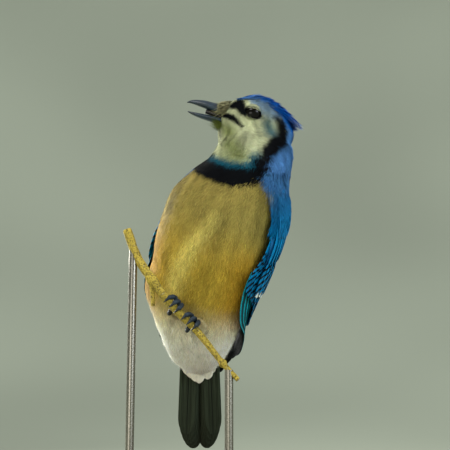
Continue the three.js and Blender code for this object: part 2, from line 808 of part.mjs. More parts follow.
function clawSolid(t, [arc, offsets]) {
  const { reach } = legPlaces(t, 0);
  const way = Math.sign(arc[1] - arc[0]);
  const start = arc[1] + way * THREE.MathUtils.radToDeg((GAP * 1.8) / reach);
  const curve = gripCurve(t, [start, start + way * CLAW_ARC], [offsets[1], offsets[1]], (share) => (
    reach - (TOE_RADIUS - CLAW_RADIUS) * Math.min(1, share * 2) + 0.1
  ));
  const claw = tube(curve, (share) => CLAW_RADIUS * (1 - 0.85 * share ** 1.3), 6, 4);
  return largest(claw.subtract(clearOfPerch));
}

// The stand
function baseSolid() {
  const profile = [
    new THREE.Vector2(0, 0),
    new THREE.Vector2(BASE_RADIUS - BASE_EDGE / 2, 0),
    new THREE.Vector2(BASE_RADIUS, BASE_EDGE / 2),
    new THREE.Vector2(BASE_RADIUS, BASE_HEIGHT - BASE_EDGE),
    new THREE.Vector2(BASE_RADIUS - BASE_EDGE, BASE_HEIGHT),
    new THREE.Vector2(0, BASE_HEIGHT),
  ];
  return solidOf(new THREE.LatheGeometry(profile, 56).rotateX(Math.PI / 2));
}

function rodSolid(place, height) {
  const length = height - BASE_HEIGHT - GAP;
  const rod = new THREE.CylinderGeometry(ROD_RADIUS, ROD_RADIUS, length, 20);
  rod.rotateX(Math.PI / 2);
  rod.translate(place.x, place.y, BASE_HEIGHT + GAP + length / 2);
  const cut = solidOf(rod).subtract(clearOfPerch).decompose();
  return cut.reduce((a, b) => (a.boundingBox().min[2] <= b.boundingBox().min[2] ? a : b));
}

// The model
const model = new THREE.Group();

function addNode(name, solid, finish) {
  const [color, roughness, metalness] = FINISHES[finish];
  const material = new THREE.MeshStandardMaterial({ color, roughness, metalness });
  const mesh = new THREE.Mesh(geometryOf(solid), material);
  mesh.name = name;
  model.add(mesh);
}

addNode('stand_base', baseSolid(), 'board');
addNode('stand_rod_tall', rodSolid(TALL_ROD, 131), 'rod');
addNode('stand_rod_short', rodSolid(SHORT_ROD, 58), 'rod');
addNode('perch', perchSolid(), 'bark');
addNode('torso', torsoSolid(), 'breast');
addNode('neck', neck, 'white');
addNode('head', headSolid(), 'blue');
addNode('bill_upper', headSweep(UPPER_BILL, 10, 8), 'horn');
addNode('bill_lower', headSweep(LOWER_BILL, 10, 8), 'horn');
addNode('tail', tailSolid(), 'blue');
for (const [side, sign, place] of [['right', -1, 0.42], ['left', 1, 0.545]]) {
  addNode(`eye_${side}`, eyeSolid(sign), 'eye');
  addNode(`wing_${side}`, wingSolid(sign), 'blue');
  addNode(`thigh_${side}`, thighSolid(place, sign), 'breast');
  addNode(`foot_${side}`, footSolid(place, sign), 'leg');
  TOES.forEach((toe, k) => addNode(`claw_${side}_${k + 1}`, clawSolid(place, toe), 'horn'));
}

export default model;
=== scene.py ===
"""A blue jay at life size on a cut twig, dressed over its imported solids.

The script loads the solids, builds the skin, the feathers, the head's parts, the feet, the
twig, the stand and the stage, one operator for each.
"""

import math
from types import SimpleNamespace

import bmesh
import bpy
import numpy as np
from mathutils import Matrix, Vector


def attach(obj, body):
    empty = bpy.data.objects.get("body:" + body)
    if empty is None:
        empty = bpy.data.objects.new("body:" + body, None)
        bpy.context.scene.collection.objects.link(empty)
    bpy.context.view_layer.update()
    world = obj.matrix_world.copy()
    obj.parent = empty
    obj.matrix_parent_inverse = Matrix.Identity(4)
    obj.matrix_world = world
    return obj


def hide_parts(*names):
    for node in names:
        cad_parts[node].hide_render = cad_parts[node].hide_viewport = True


bl_info = {
    "name": "Blue jay on a twig",
    "version": (1, 0, 0),
    "blender": (4, 5, 0),
    "location": "3D View > Sidebar > Jay",
    "description": "Builds a life-size blue jay on a display stand over its packed solids",
    "category": "Object",
}

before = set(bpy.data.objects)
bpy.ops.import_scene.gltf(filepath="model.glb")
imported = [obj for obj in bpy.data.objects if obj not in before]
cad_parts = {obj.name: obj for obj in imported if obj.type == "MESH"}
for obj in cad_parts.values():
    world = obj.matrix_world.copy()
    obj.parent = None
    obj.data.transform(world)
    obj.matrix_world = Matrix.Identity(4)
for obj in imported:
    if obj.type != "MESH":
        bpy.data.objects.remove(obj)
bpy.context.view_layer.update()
BODY = "root"
MM = 0.001
UP = np.array([0.0, 0.0, 1.0])

# Shapes of the solids, in millimetres, as the part's source has them

# Cross-sections of the trunk from inside the head down to the vent: the middle, the
# heading of the breast in degrees, half the width, the depth in front and behind
TRUNK = [
    (27.4, -26, 205.5, -178, 14.5, 19, 19),
    (28.0, -26, 191.6, -170, 19.5, 26, 23.5),
    (22.3, -28, 179.8, -146, 26.5, 24, 26.5),
    (15.6, -28, 168.0, -124, 31, 27, 28),
    (8.2, -27, 156.5, -116, 33.5, 29.5, 28),
    (3.8, -24, 145.6, -114, 34.5, 30.5, 27.5),
    (0.2, -20, 133.6, -112, 35, 30.5, 27),
    (-3.2, -14, 121.2, -110, 34, 29.5, 25.5),
    (-7.8, -7, 108.2, -106, 33, 28, 23),
    (-8.9, 0, 95.7, -102, 28.4, 25, 19.5),
    (-9.1, 8, 84.3, -98, 23.6, 20.5, 15),
    (-9.4, 16, 74.0, -95, 18, 15, 10.5),
    (-9.2, 24, 65.0, -95, 9, 7, 5),
]
LEANS = [
    (0.05, -0.05, 1),
    (0.32, -0.08, 0.94),
    (0.27, -0.33, 0.9),
    (0.12, -0.5, 0.86),
    (0, -0.62, 0.78),
]
HEAD_MIDDLE = np.array([25.1, -25, 215.7])
HEAD_LIFT = math.radians(22)
HEAD_LEAN = math.radians(15)
HEAD = [
    (17, -0.6, -17.2, 6.4),
    (14, 2.4, -24.5, 8.6),
    (8, 7.2, -28.5, 11.2),
    (1, 11, -30, 13.1),
    (-6, 11.6, -30, 14),
    (-13, 9.6, -28, 13.8),
    (-19, 6.0, -23, 12.2),
    (-24, 1.4, -16, 9.0),
    (-27, -4, -11, 4.0),
]
UPPER_BILL = [
    (14.5, -1.4, -8.9, 5.0),
    (17.3, -2.0, -8.7, 4.7),
    (23.3, -3.3, -8.8, 4.2),
    (29.5, -4.1, -8.8, 3.3),
    (35, -5.8, -8.9, 2.0),
    (38, -7.4, -9.2, 1.0),
    (39.6, -9.0, -9.7, 0.3),
]
LOWER_BILL = [
    (14.5, -9.6, -14.2, 4.4),
    (17.3, -10.2, -14.6, 4.2),
    (22, -11.0, -15.0, 3.8),
    (27, -12.0, -15.3, 3.1),
    (32, -13.0, -15.3, 2.1),
    (35.5, -13.7, -15.0, 1.1),
    (37.3, -14.1, -14.5, 0.4),
]
EYE_RADIUS = 5.5
EYE_OUT = 8.8
EYE_DROP = -1.0

WING_LOWER = [
    (0.235, 73, 1.2),
    (0.33, 84, 1.6),
    (0.44, 80, 1.8),
    (0.53, 66, 1.8),
    (0.6, 64, 1.8),
    (0.7, 69, 1.8),
    (0.8, 90, 2.2),
]
WING_UPPER = [
    (0.2, 106, 1.2),
    (0.3, 126, 1.6),
    (0.42, 140, 1.8),
    (0.54, 148, 1.8),
    (0.66, 154, 2.2),
    (0.78, 160, 3.4),
]
WING_TIP_LEFT = np.array([5.2, 42, 59.4])
WING_TIP_WIDTH = 5
WING_CURVE = 26
WING_TUCK_RIGHT = 22

TAIL_ROOT = np.array([-7.6, 9, 103])
TAIL_TIP = np.array([-8.6, 73, 14.5])
TAIL_START = 13
TAIL_PAIRS = 6
TAIL_FEATHER = 12
TAIL_FAN = 0.42
TAIL_STEP = 0.86
TAIL_SHORTER = (0, 0.6, 2.2, 5, 9, 14)

PERCH = [
    (-49.5, -34, 140.4, 2.6),
    (-41.4, -36, 121.0, 2.5),
    (-23.5, -39, 96.7, 2.5),
    (-7.9, -42, 80.3, 2.1),
    (5.2, -46, 63.7, 1.6),
    (15.2, -49, 52.5, 1.3),
]
STUB = ((-34.7, -37, 108), (-33.5, -36, 95.3))
STUB_RADIUS = 1.5
KNOTS = ((0.29, 3.3), (0.83, 2.4))
KNOT_LENGTH = 3.2 / 165
FEET = (("right", -1, 0.42), ("left", 1, 0.545))
TOE_RADIUS = 1.3
TOE_SPREAD = 4.3
FRONT_ARC = (8, 168)
HIND_ARC = (-12, -84)
CLAW_ARC = 48
CLAW_RADIUS = 0.85
SHANK_RADIUS = 1.5


# Smooth curves through rows of numbers

CURVE_STEPS = 240


def padded_rows(rows):
    rows = np.array(rows, float)
    return np.vstack([2 * rows[0] - rows[1], rows, 2 * rows[-1] - rows[-2]])


def bent_line(b, c, start, end, w):
    """From b to c, leaving at the slope start and arriving at the slope end."""
    bend = -3 * b + 3 * c - 2 * start - end
    return b + w * start + w ** 2 * bend + w ** 3 * (2 * b - 2 * c + start + end)


def even_curve(rows):
    """A curve through the rows at equal steps of t, as a function of an array of t."""
    padded = padded_rows(rows)
    last = len(rows) - 2

    def at(t):
        place = np.clip(np.asarray(t, float), 0, 1) * (last + 1)
        first = np.minimum(place.astype(int), last)
        w = (place - first)[..., None]
        a, b, c, d = (padded[first + k] for k in range(4))
        return bent_line(b, c, (c - a) / 2, (d - b) / 2, w)

    return at


def spaced_curve(points):
    """A smooth curve through points whose knots follow their spacing, read by length."""
    padded = padded_rows(points)
    fine = []
    for i in range(len(points) - 1):
        a, b, c, d = padded[i:i + 4]
        gap = [max(np.linalg.norm(q - p), 1e-6) ** 0.5 for p, q in ((a, b), (b, c), (c, d))]
        start = (b - a) / gap[0] - (c - a) / (gap[0] + gap[1]) + (c - b) / gap[1]
        end = (c - b) / gap[1] - (d - b) / (gap[1] + gap[2]) + (d - c) / gap[2]
        w = np.linspace(0, 1, CURVE_STEPS, endpoint=False)[:, None]
        fine.append(bent_line(b, c, start * gap[1], end * gap[1], w))
    fine = np.vstack([*fine, points[-1:]])
    length = np.concatenate([[0], np.cumsum(np.linalg.norm(np.diff(fine, axis=0), axis=1))])

    def at(u):
        wanted = np.clip(np.asarray(u, float), 0, 1) * length[-1]
        return np.stack([np.interp(wanted, length, fine[:, k]) for k in range(3)], -1)

    return at, length[-1]


def table(rows, x):
    """Reads rows of a place and a value at the places x, straight in between."""
    return np.interp(x, *zip(*rows))


def unit(v):
    return v / np.maximum(np.linalg.norm(v, axis=-1, keepdims=True), 1e-12)


def lerp(a, b, w):
    return a + (b - a) * w


def smoothstep(x, low, high):
    w = np.clip((x - low) / (high - low), 0, 1)
    return w * w * (3 - 2 * w)


def srgb(red, green, blue):
    """A colour on the usual 0 to 255 scale as the linear one that shaders take."""
    values = np.array([red, green, blue], float) / 255
    return np.where(values <= 0.04045, values / 12.92, ((values + 0.055) / 1.055) ** 2.4)


# The trunk and the head as functions

trunk_rows = even_curve(TRUNK)
trunk_leans = even_curve(LEANS)


def trunk_at(t):
    """The cross-sections at an array of t: middle, up, forward, sideways, sizes."""
    row = trunk_rows(t)
    up = unit(trunk_leans(t))
    heading = np.radians(row[..., 3])
    forward = np.stack([np.cos(heading), np.sin(heading), np.zeros_like(heading)], -1)
    forward = unit(forward - up * np.sum(forward * up, -1, keepdims=True))
    return {
        "middle": row[..., :3],
        "up": up,
        "forward": forward,
        "sideways": np.cross(up, forward),
        "half": row[..., 4],
        "front": row[..., 5],
        "back": row[..., 6],
    }


def on_trunk(t, degrees, swell=0.0):
    cut = trunk_at(t)
    angle = np.radians(degrees)
    depth = np.where(np.cos(angle) > 0, cut["front"], cut["back"]) + swell
    side = (np.sin(angle) * (cut["half"] + swell))[..., None] * cut["sideways"]
    return cut["middle"] + side + (np.cos(angle) * depth)[..., None] * cut["forward"]


TRUNK_CUTS = 161
AT_ONCE = 20000


def trunk_place(points):
    """For points near the trunk: how far along it, and the angle round it in degrees."""
    t = np.linspace(0, 1, TRUNK_CUTS)
    cut = trunk_at(t)
    found, angles = np.empty(len(points)), np.empty(len(points))
    for low in range(0, len(points), AT_ONCE):
        part = slice(low, low + AT_ONCE)
        some = points[part]
        away = some[:, None, :] - cut["middle"][None]
        height = np.abs(np.sum(away * cut["up"][None], -1))
        reach = np.linalg.norm(away, axis=-1)
        best = np.argmin(height + 0.02 * reach, axis=1)
        own = away[np.arange(len(some)), best]
        forward = np.sum(own * cut["forward"][best], -1)
        side = np.sum(own * cut["sideways"][best], -1)
        found[part] = t[best]
        angles[part] = np.degrees(np.arctan2(side, forward))
    return found, angles


IMAGE_UP = np.array([0, -math.sin(HEAD_LEAN), math.cos(HEAD_LEAN)])
LEFTWARD = np.array([0, -math.cos(HEAD_LEAN), -math.sin(HEAD_LEAN)])
BILLWARD = np.array([-math.cos(HEAD_LIFT), 0, 0]) + IMAGE_UP * math.sin(HEAD_LIFT)
CROWNWARD = np.array([math.sin(HEAD_LIFT), 0, 0]) + IMAGE_UP * math.cos(HEAD_LIFT)
HEAD_AXES = np.stack([BILLWARD, LEFTWARD, CROWNWARD])


def on_head(x, y, z):
    return HEAD_MIDDLE + np.stack(np.broadcast_arrays(x, y, z), -1) @ HEAD_AXES


def head_place(points):
    return (points - HEAD_MIDDLE) @ HEAD_AXES.T


# Meshes

def add_object(name, data):
    thing = bpy.data.objects.new(name, data)
    bpy.context.scene.collection.objects.link(thing)
    return thing


def new_piece(name, mesh, replaced=()):
    """A piece of the bird or the twig, with its body and the nodes it stands for."""
    piece = add_object(name, mesh)
    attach(piece, BODY)
    if replaced:
        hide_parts(*replaced)


def finish_bmesh(bm, name, material):
    bmesh.ops.recalc_face_normals(bm, faces=bm.faces)
    mesh = bpy.data.meshes.new(name)
    bm.to_mesh(mesh)
    bm.free()
    mesh.materials.append(material)
    mesh.shade_smooth()
    return mesh


def bmesh_piece(bm, name, material, replaced=()):
    new_piece(name, finish_bmesh(bm, name, material), replaced)


def add_tube(bm, place, sides, rings):
    """Adds a closed tube. place(angle, share) gives its points in millimetres."""
    sheet = bmesh.ops.create_grid(bm, x_segments=sides, y_segments=rings, size=1.0)
    for corner in sheet["verts"]:
        angle = (corner.co.x + 1) * math.pi
        share = (corner.co.y + 1) / 2
        corner.co = Vector(place(angle, share)) * MM
    bmesh.ops.remove_doubles(bm, verts=sheet["verts"], dist=1e-7)
    kept = {v for v in sheet["verts"] if v.is_valid}
    rims = [e for e in bm.edges if e.is_boundary and e.verts[0] in kept]
    bmesh.ops.holes_fill(bm, edges=rims, sides=0)


def write_colours(mesh, label, values):
    layer = mesh.color_attributes.new(name=label, type="FLOAT_COLOR", domain="POINT")
    layer.data.foreach_set("color", values.astype(np.float32).ravel())


def with_alpha(tint):
    return np.hstack([tint, np.ones((len(tint), 1))])


def arrays_mesh(name, corners, faces, materials, attributes=(), maps=(), normals=None, slots=None):
    """Many small pieces as one mesh. faces is one array of triangles or quads per kind."""
    mesh = bpy.data.meshes.new(name)
    loops = np.concatenate([f.ravel() for f in faces]).astype(np.int32)
    counts = np.concatenate([np.full(len(f), f.shape[1]) for f in faces])
    starts = np.concatenate([[0], np.cumsum(counts)[:-1]]).astype(np.int32)
    mesh.vertices.add(len(corners))
    mesh.vertices.foreach_set("co", (corners * MM).astype(np.float32).ravel())
    mesh.loops.add(len(loops))
    mesh.loops.foreach_set("vertex_index", loops)
    mesh.polygons.add(len(starts))
    mesh.polygons.foreach_set("loop_start", starts)
    mesh.update(calc_edges=True)
    for label, values in maps:
        layer = mesh.uv_layers.new(name=label)
        layer.data.foreach_set("uv", values[loops].astype(np.float32).ravel())
    for label, values in attributes:
        write_colours(mesh, label, values)
    for material in materials:
        mesh.materials.append(material)
    if slots is not None:
        mesh.polygons.foreach_set("material_index", slots.astype(np.int32))
    mesh.shade_smooth()
    if normals is not None:
        mesh.normals_split_custom_set_from_vertices(normals.astype(np.float32))
    return mesh


# Materials

class Nodes:
    """Short calls that add shader nodes to one material and link them."""

    def __init__(self, name):
        self.material = bpy.data.materials.new(name)
        self.material.use_nodes = True
        self.tree = self.material.node_tree
        self.shader = self.tree.nodes["Principled BSDF"]

    def add(self, kind, settings=None, **inputs):
        node = self.tree.nodes.new(kind)
        for key, value in (settings or {}).items():
            setattr(node, key, value)
        for key, value in inputs.items():
            self.put(node, key.replace("_", " "), value)
        return node

    def put(self, node, socket, value):
        """Sets or links one socket, named as Blender names it, or i and its number."""
        target = node.inputs[int(socket[1:]) if socket[1:].isdigit() else socket]
        if isinstance(value, bpy.types.NodeSocket):
            self.tree.links.new(value, target)
        elif isinstance(value, np.ndarray):
            target.default_value = (*value, 1.0) if len(target.default_value) == 4 else value
        else:
            target.default_value = value

    def shade(self, **inputs):
        for key, value in inputs.items():
            self.put(self.shader, key.replace("_", " "), value)

    def math(self, operation, a, b=0.0):
        return self.add("ShaderNodeMath", {"operation": operation}, i0=a, i1=b).outputs[0]

    def times(self, a, b):
        return self.math("MULTIPLY", a, b)

    def scaled(self, colour, share):
        node = self.add("ShaderNodeVectorMath", {"operation": "SCALE"}, i0=colour, Scale=share)
        return node.outputs[0]

    def mix(self, share, a, b):
        return self.add("ShaderNodeMix", {"data_type": "RGBA"}, i0=share, i6=a, i7=b).outputs[2]

    def span(self, value, low, high, start=0.0, end=1.0):
        return self.add("ShaderNodeMapRange", {"interpolation_type": "SMOOTHSTEP"},
                        i0=value, i1=low, i2=high, i3=start, i4=end).outputs[0]

    def noise(self, vector, scale, detail=3.0, rough=0.55):
        return self.add("ShaderNodeTexNoise", Vector=vector, Scale=scale, Detail=detail,
                        Roughness=rough).outputs[0]

    def cells(self, vector, scale):
        return self.add("ShaderNodeTexVoronoi", Vector=vector, Scale=scale).outputs["Distance"]

    def colour(self, name):
        return self.add("ShaderNodeAttribute", {"attribute_name": name}).outputs["Color"]

    def bump(self, height, strength, distance):
        return self.add("ShaderNodeBump", Height=height, Strength=strength,
                        Distance=distance).outputs[0]

    def place(self):
        return self.add("ShaderNodeTexCoord").outputs["Object"]

    def stretched(self, scale):
        return self.add("ShaderNodeMapping", Vector=self.place(), Scale=scale).outputs[0]

    def uv(self, name):
        node = self.add("ShaderNodeUVMap", {"uv_map": name})
        parts = self.add("ShaderNodeSeparateXYZ", Vector=node.outputs[0])
        return parts.outputs[0], parts.outputs[1]


def plumage_material(name):
    """Soft body feathers: the colour of each tuft comes from its Tint attribute."""
    n = Nodes(name)
    place = n.place()
    patches = n.span(n.noise(place, 160.0), 0.3, 0.72, 0.94, 1.06)
    fine = n.span(n.noise(place, 2600.0, 2.0), 0.3, 0.7, 0.84, 1.12)
    n.shade(Base_Color=n.scaled(n.colour("Tint"), n.times(patches, fine)), Roughness=0.72,
            Specular_IOR_Level=0.07)
    return n.material


def skin_material(name):
    """The skin under the feathers, in the feathers' own colours but darker, as painted shade under
    the coat.
    """
    n = Nodes(name)
    # Painted shade: the feathers' colours at half to four fifths of their lightness, in clouds
    painted_shade_mottle = n.span(n.noise(n.place(), 900.0), 0.3, 0.7, 0.5, 0.8)
    n.shade(Base_Color=n.scaled(n.colour("Tint"), painted_shade_mottle), Roughness=0.85, Specular_IOR_Level=0.1)
    return n.material


def vane_material(name, outer, inner, bar=None, bars=0.0, tip=None, tip_from=1.0, soft=False,
                  under=None, edge=None):
    """A flat feather: an outer and an inner web, dark bars, a pale tip, a shaft and barbs.

    bars is how many of them there are along it, tip_from the share of its length where the
    tip begins, under the colour of its lower face, streaked along the barbs, and edge that of
    the narrow rim of its outer web.
    """
    n = Nodes(name)
    across, along = n.uv("Vane")
    chance, _, lower = n.add("ShaderNodeSeparateColor", i0=n.colour("Feather")).outputs
    away = n.math("ABSOLUTE", n.math("SUBTRACT", across, 0.5))
    place = n.place()
    wobble = n.times(n.math("SUBTRACT", n.noise(place, 420.0), 0.5), 0.05)
    run = n.math("ADD", n.math("ADD", along, n.times(away, -0.12)), wobble)
    web = n.mix(n.span(across, 0.44, 0.58), outer, inner)
    if edge is not None:
        web = n.mix(n.span(across, 0.16, 0.1), web, edge)
    shade = n.span(n.noise(place, 150.0), 0.25, 0.75, 0.75, 1.2)
    colour = n.scaled(web, n.times(shade, n.math("ADD", n.times(chance, 0.3), 0.85)))
    if bar is not None:
        phase = n.math("FRACT", n.math("ADD", n.times(run, bars), n.times(chance, 0.7)))
        line = n.times(n.span(phase, 0.42, 0.56), n.span(phase, 0.98, 0.84))
        fade = n.times(line, n.span(along, 0.1, 0.3))
        colour = n.mix(fade, colour, bar)
    if tip is not None:
        colour = n.mix(n.span(run, tip_from, tip_from + 0.05), colour, tip)
    if under is not None:
        streaked = n.add("ShaderNodeCombineXYZ", X=n.times(across, 26.0), Y=along).outputs[0]
        below = n.mix(n.span(n.noise(streaked, 1.0, 4.0), 0.35, 0.65), under * 0.45, under * 1.7)
        colour = n.mix(n.span(lower, 0.4, 0.6), colour, below)
    shaft = n.span(away, 0.035, 0.012)
    if not soft:
        colour = n.mix(shaft, colour, n.mix(0.65, colour, srgb(10, 14, 18)))
    barbs = n.math("SINE", n.times(n.math("SUBTRACT", along, n.times(away, 0.55)), 420.0))
    height = n.math("ADD", n.times(barbs, 0.25), n.times(shaft, 1.2))
    n.shade(Base_Color=colour, Roughness=0.7 if soft else 0.5, Specular_IOR_Level=0.07,
            Normal=n.bump(height, 0.5, 0.0001))
    return n.material


def horn_material(name, dark, light, rough, coat):
    """Horn of the bill and the claws, clouded and worn, with a thin gloss."""
    n = Nodes(name)
    place = n.place()
    grain = n.noise(place, 700.0, 4.0)
    cloud = n.noise(place, 160.0, 2.0)
    colour = n.mix(n.span(cloud, 0.35, 0.7), dark, light)
    n.shade(Base_Color=colour, Roughness=n.span(grain, 0.3, 0.7, rough - 0.06, rough + 0.1),
            Specular_IOR_Level=0.3, Coat_Weight=coat, Coat_Roughness=0.22,
            Normal=n.bump(grain, 0.25, 0.0002))
    return n.material


def scale_material(name, dark, light):
    """Slate-black skin of the toes and shanks, lighter and bluer in clouds, bumped along the edges
    of its plates.
    """
    n = Nodes(name)
    place = n.place()
    colour = n.mix(n.span(n.noise(place, 350.0), 0.35, 0.7), dark, light)
    edge = n.span(n.cells(place, 1100.0), 0.25, 0.65, 1.0, 0.0)
    n.shade(Base_Color=colour, Roughness=0.6, Specular_IOR_Level=0.25, Coat_Weight=0.03,
            Coat_Roughness=0.35, Normal=n.bump(edge, 0.45, 0.0002))
    return n.material


def bark_material(name, ground, ridge):
    """Rough bark with dark fibres and pale spots."""
    n = Nodes(name)
    place = n.place()
    cloud = n.noise(place, 120.0, 5.0, 0.65)
    fibre = n.noise(place, 900.0, 6.0, 0.7)
    spot = n.span(n.cells(place, 320.0), 0.22, 0.1)
    colour = n.mix(n.span(cloud, 0.35, 0.7), ground, ridge)
    colour = n.mix(n.times(n.span(fibre, 0.45, 0.62), 0.8), colour, srgb(44, 38, 20))
    colour = n.mix(n.times(spot, 0.5), colour, srgb(176, 164, 120))
    rise = n.math("ADD", fibre, n.times(spot, 0.6))
    n.shade(Base_Color=colour, Roughness=0.85, Specular_IOR_Level=0.25,
            Normal=n.bump(rise, 0.9, 0.0009))
    return n.material


def cut_wood_material(name, pale, dark):
    """The fresh grain of the twig's cut ends."""
    n = Nodes(name)
    grain = n.noise(n.place(), 1500.0, 5.0)
    n.shade(Base_Color=n.mix(n.span(grain, 0.35, 0.7), pale, dark), Roughness=0.8,
            Normal=n.bump(grain, 0.4, 0.0002))
    return n.material


def board_material(name, dark, light):
    """Dark satin wood with long grain."""
    n = Nodes(name)
    place = n.stretched((9.0, 90.0, 60.0))
    grain = n.noise(place, 3.0, 7.0, 0.6)
    pores = n.noise(place, 22.0)
    colour = n.mix(n.span(grain, 0.3, 0.7), dark, light)
    colour = n.mix(n.times(n.span(pores, 0.58, 0.7), 0.5), colour, dark)
    n.shade(Base_Color=colour, Roughness=n.span(grain, 0.3, 0.7, 0.5, 0.62),
            Specular_IOR_Level=0.3, Coat_Weight=0.08, Coat_Roughness=0.4,
            Normal=n.bump(pores, 0.12, 0.0002))
    return n.material


def rod_material(name, tone):
    """Metal brushed round the rod."""
    n = Nodes(name)
    brush = n.noise(n.stretched((1.0, 1.0, 30.0)), 140.0, 5.0)
    n.shade(Base_Color=tone, Metallic=1.0, Roughness=n.span(brush, 0.3, 0.7, 0.24, 0.4),
            Normal=n.bump(brush, 0.12, 0.0001))
    return n.material


def eye_material(name, iris):
    """Wet and nearly black, with the iris a little lighter in clouds."""
    n = Nodes(name)
    cloud = n.span(n.noise(n.place(), 500.0, 2.0), 0.3, 0.7)
    n.shade(Base_Color=n.mix(cloud, iris, iris * 0.5), Roughness=0.05, Specular_IOR_Level=0.18)
    return n.material


def stage_material(name, tone):
    """Paper that gives off a little of its own light, so that no corner is dark."""
    n = Nodes(name)
    cloud = n.noise(n.place(), 0.7, 1.0)
    colour = n.mix(n.span(cloud, 0.3, 0.7), tone * 0.85, tone * 1.12)
    n.shade(Base_Color=colour, Roughness=0.9, Specular_IOR_Level=0.1, Emission_Color=colour,
            Emission_Strength=0.75)
    return n.material


# Colours of the plumage by place

# The black line from behind the ear to the collar, on the bird's left, as places on the
# head and then as t and degrees on the trunk, each with half its width
BRIDLE_HEAD = [(-12.0, 11.6, 1.6, 0.8), (-16.5, 10.6, 0.6, 2.6), (-20.4, 12.4, -2.6, 4.2)]
BRIDLE_TRUNK = [
    (0.031, 135, 5.0),
    (0.069, 109, 5.4),
    (0.106, 92, 4.8),
    (0.156, 75, 4.2),
    (0.206, 61, 4.6),
    (0.231, 43, 5.3),
    (0.245, 26, 5.8),
    (0.249, 12, 5.8),
]
FRONT_TURN = ((0, 0), (0.24, 12), (0.5, 4), (1, 0))
# Places and values: the breast's edge in degrees at t, the crown's lower edge at x, and the
# face's rear edge at z
CHEST_EDGE = (
    (0.2, 44), (0.25, 56), (0.27, 64), (0.33, 80), (0.4, 98), (0.49, 100), (0.7, 110), (1, 125),
)
FACE_EDGE = ((-13, -19.8), (-6.5, -23.5), (-2, -22.7), (1.8, -16.5))
CROWN_EDGE = ((-29, -2.4), (-22.9, 0.4), (-17.2, 4.8), (-5.8, 9.0), (6.7, 8.2), (14, 3.6))

# Lines and patches of colour on the bird's left: places on the head, or t and degrees on the
# trunk, each with half its width
LORE = [
    (16.4, 6.6, -2.0, 1.0),
    (13.0, 7.0, -0.8, 2.8),
    (10.2, 6.6, 1.4, 3.6),
    (7.4, 9.6, -1.4, 2.8),
    (4.4, 11.8, -2.6, 2.2),
]
EYE_LINE = [(-3.5, 12.6, 0.2, 1.6), (-7.0, 12.4, -1.0, 0.9), (-10.5, 12.6, -2.2, 0.5)]
BROW_LINE = [
    (7.0, 5.5, 7.2, 1.6),
    (2.0, 8.6, 6.6, 3.0),
    (-6.1, 10.4, 5.6, 3.0),
    (-14, 10.4, 2.8, 1.8),
]
TEMPLE_LINE = [(-4, 11.6, 3.4, 2.4), (-10, 12, 2.2, 2.6), (-15, 11.4, 0.8, 1.8)]
GAPE_LINE = [(17.0, 6.2, -8.6, 1.6), (10.2, 9.4, -8.2, 1.9), (3.2, 12.5, -11.0, 1.1)]
EAR_PATCH = [(-10.0, 13.5, -3.5, 2.8), (-14.5, 15.5, -8.5, 4.4)]
# CHIN_PATCH and THROAT_SHADE lay painted shade in the chin colour under the bill and down the
# middle of the throat
CHIN_PATCH = [(16.0, 3.0, -15.0, 2.6), (9.0, 12.0, -18.0, 3.4)]
THROAT_SHADE = [(0.03, 26, 3.6), (0.094, 37, 5.6), (0.15, 41, 4.6)]
BELLY_STRIPE = [(0.39, 20, 2.6), (0.47, 8, 4.0), (0.545, -4, 5.0), (0.66, -14, 5.0)]
# Half the length and half the height of the black rim round the eye
EYE_RIM = (5.9, 3.0)


def front_turn(t):
    """The angle of the middle of the breast at t, where the head's turn twists the neck."""
    return table(FRONT_TURN, t)


def band(points, path, soft=0.7):
    """How much points belong to a band round a path, whose rows end in half its width."""
    path = np.array(path, float)
    best = np.full(len(points), 1e9)
    for a, b in zip(path[:-1], path[1:]):
        run = b[:3] - a[:3]
        share = np.clip((points - a[:3]) @ run / (run @ run), 0, 1)
        gap = np.linalg.norm(points - a[:3] - share[:, None] * run, axis=1)
        best = np.minimum(best, gap - lerp(a[3], b[3], share))
    return 1 - smoothstep(best, -soft, soft)


def collar_path(grow=0.0):
    """The whole black necklace, as world places with half widths, from ear to ear."""
    rows = []
    for side in (1, -1):
        one = [(*on_head(x, side * y, z), r + grow) for x, y, z, r in BRIDLE_HEAD]
        for t, degrees, r in BRIDLE_TRUNK:
            middle = front_turn(t)
            one.append((*on_trunk(t, middle + side * (degrees - middle)), r + grow))
        rows += one if side > 0 else one[::-1][1:]
    return rows


def trunk_path(rows):
    return [(*on_trunk(t, degrees), r) for t, degrees, r in rows]


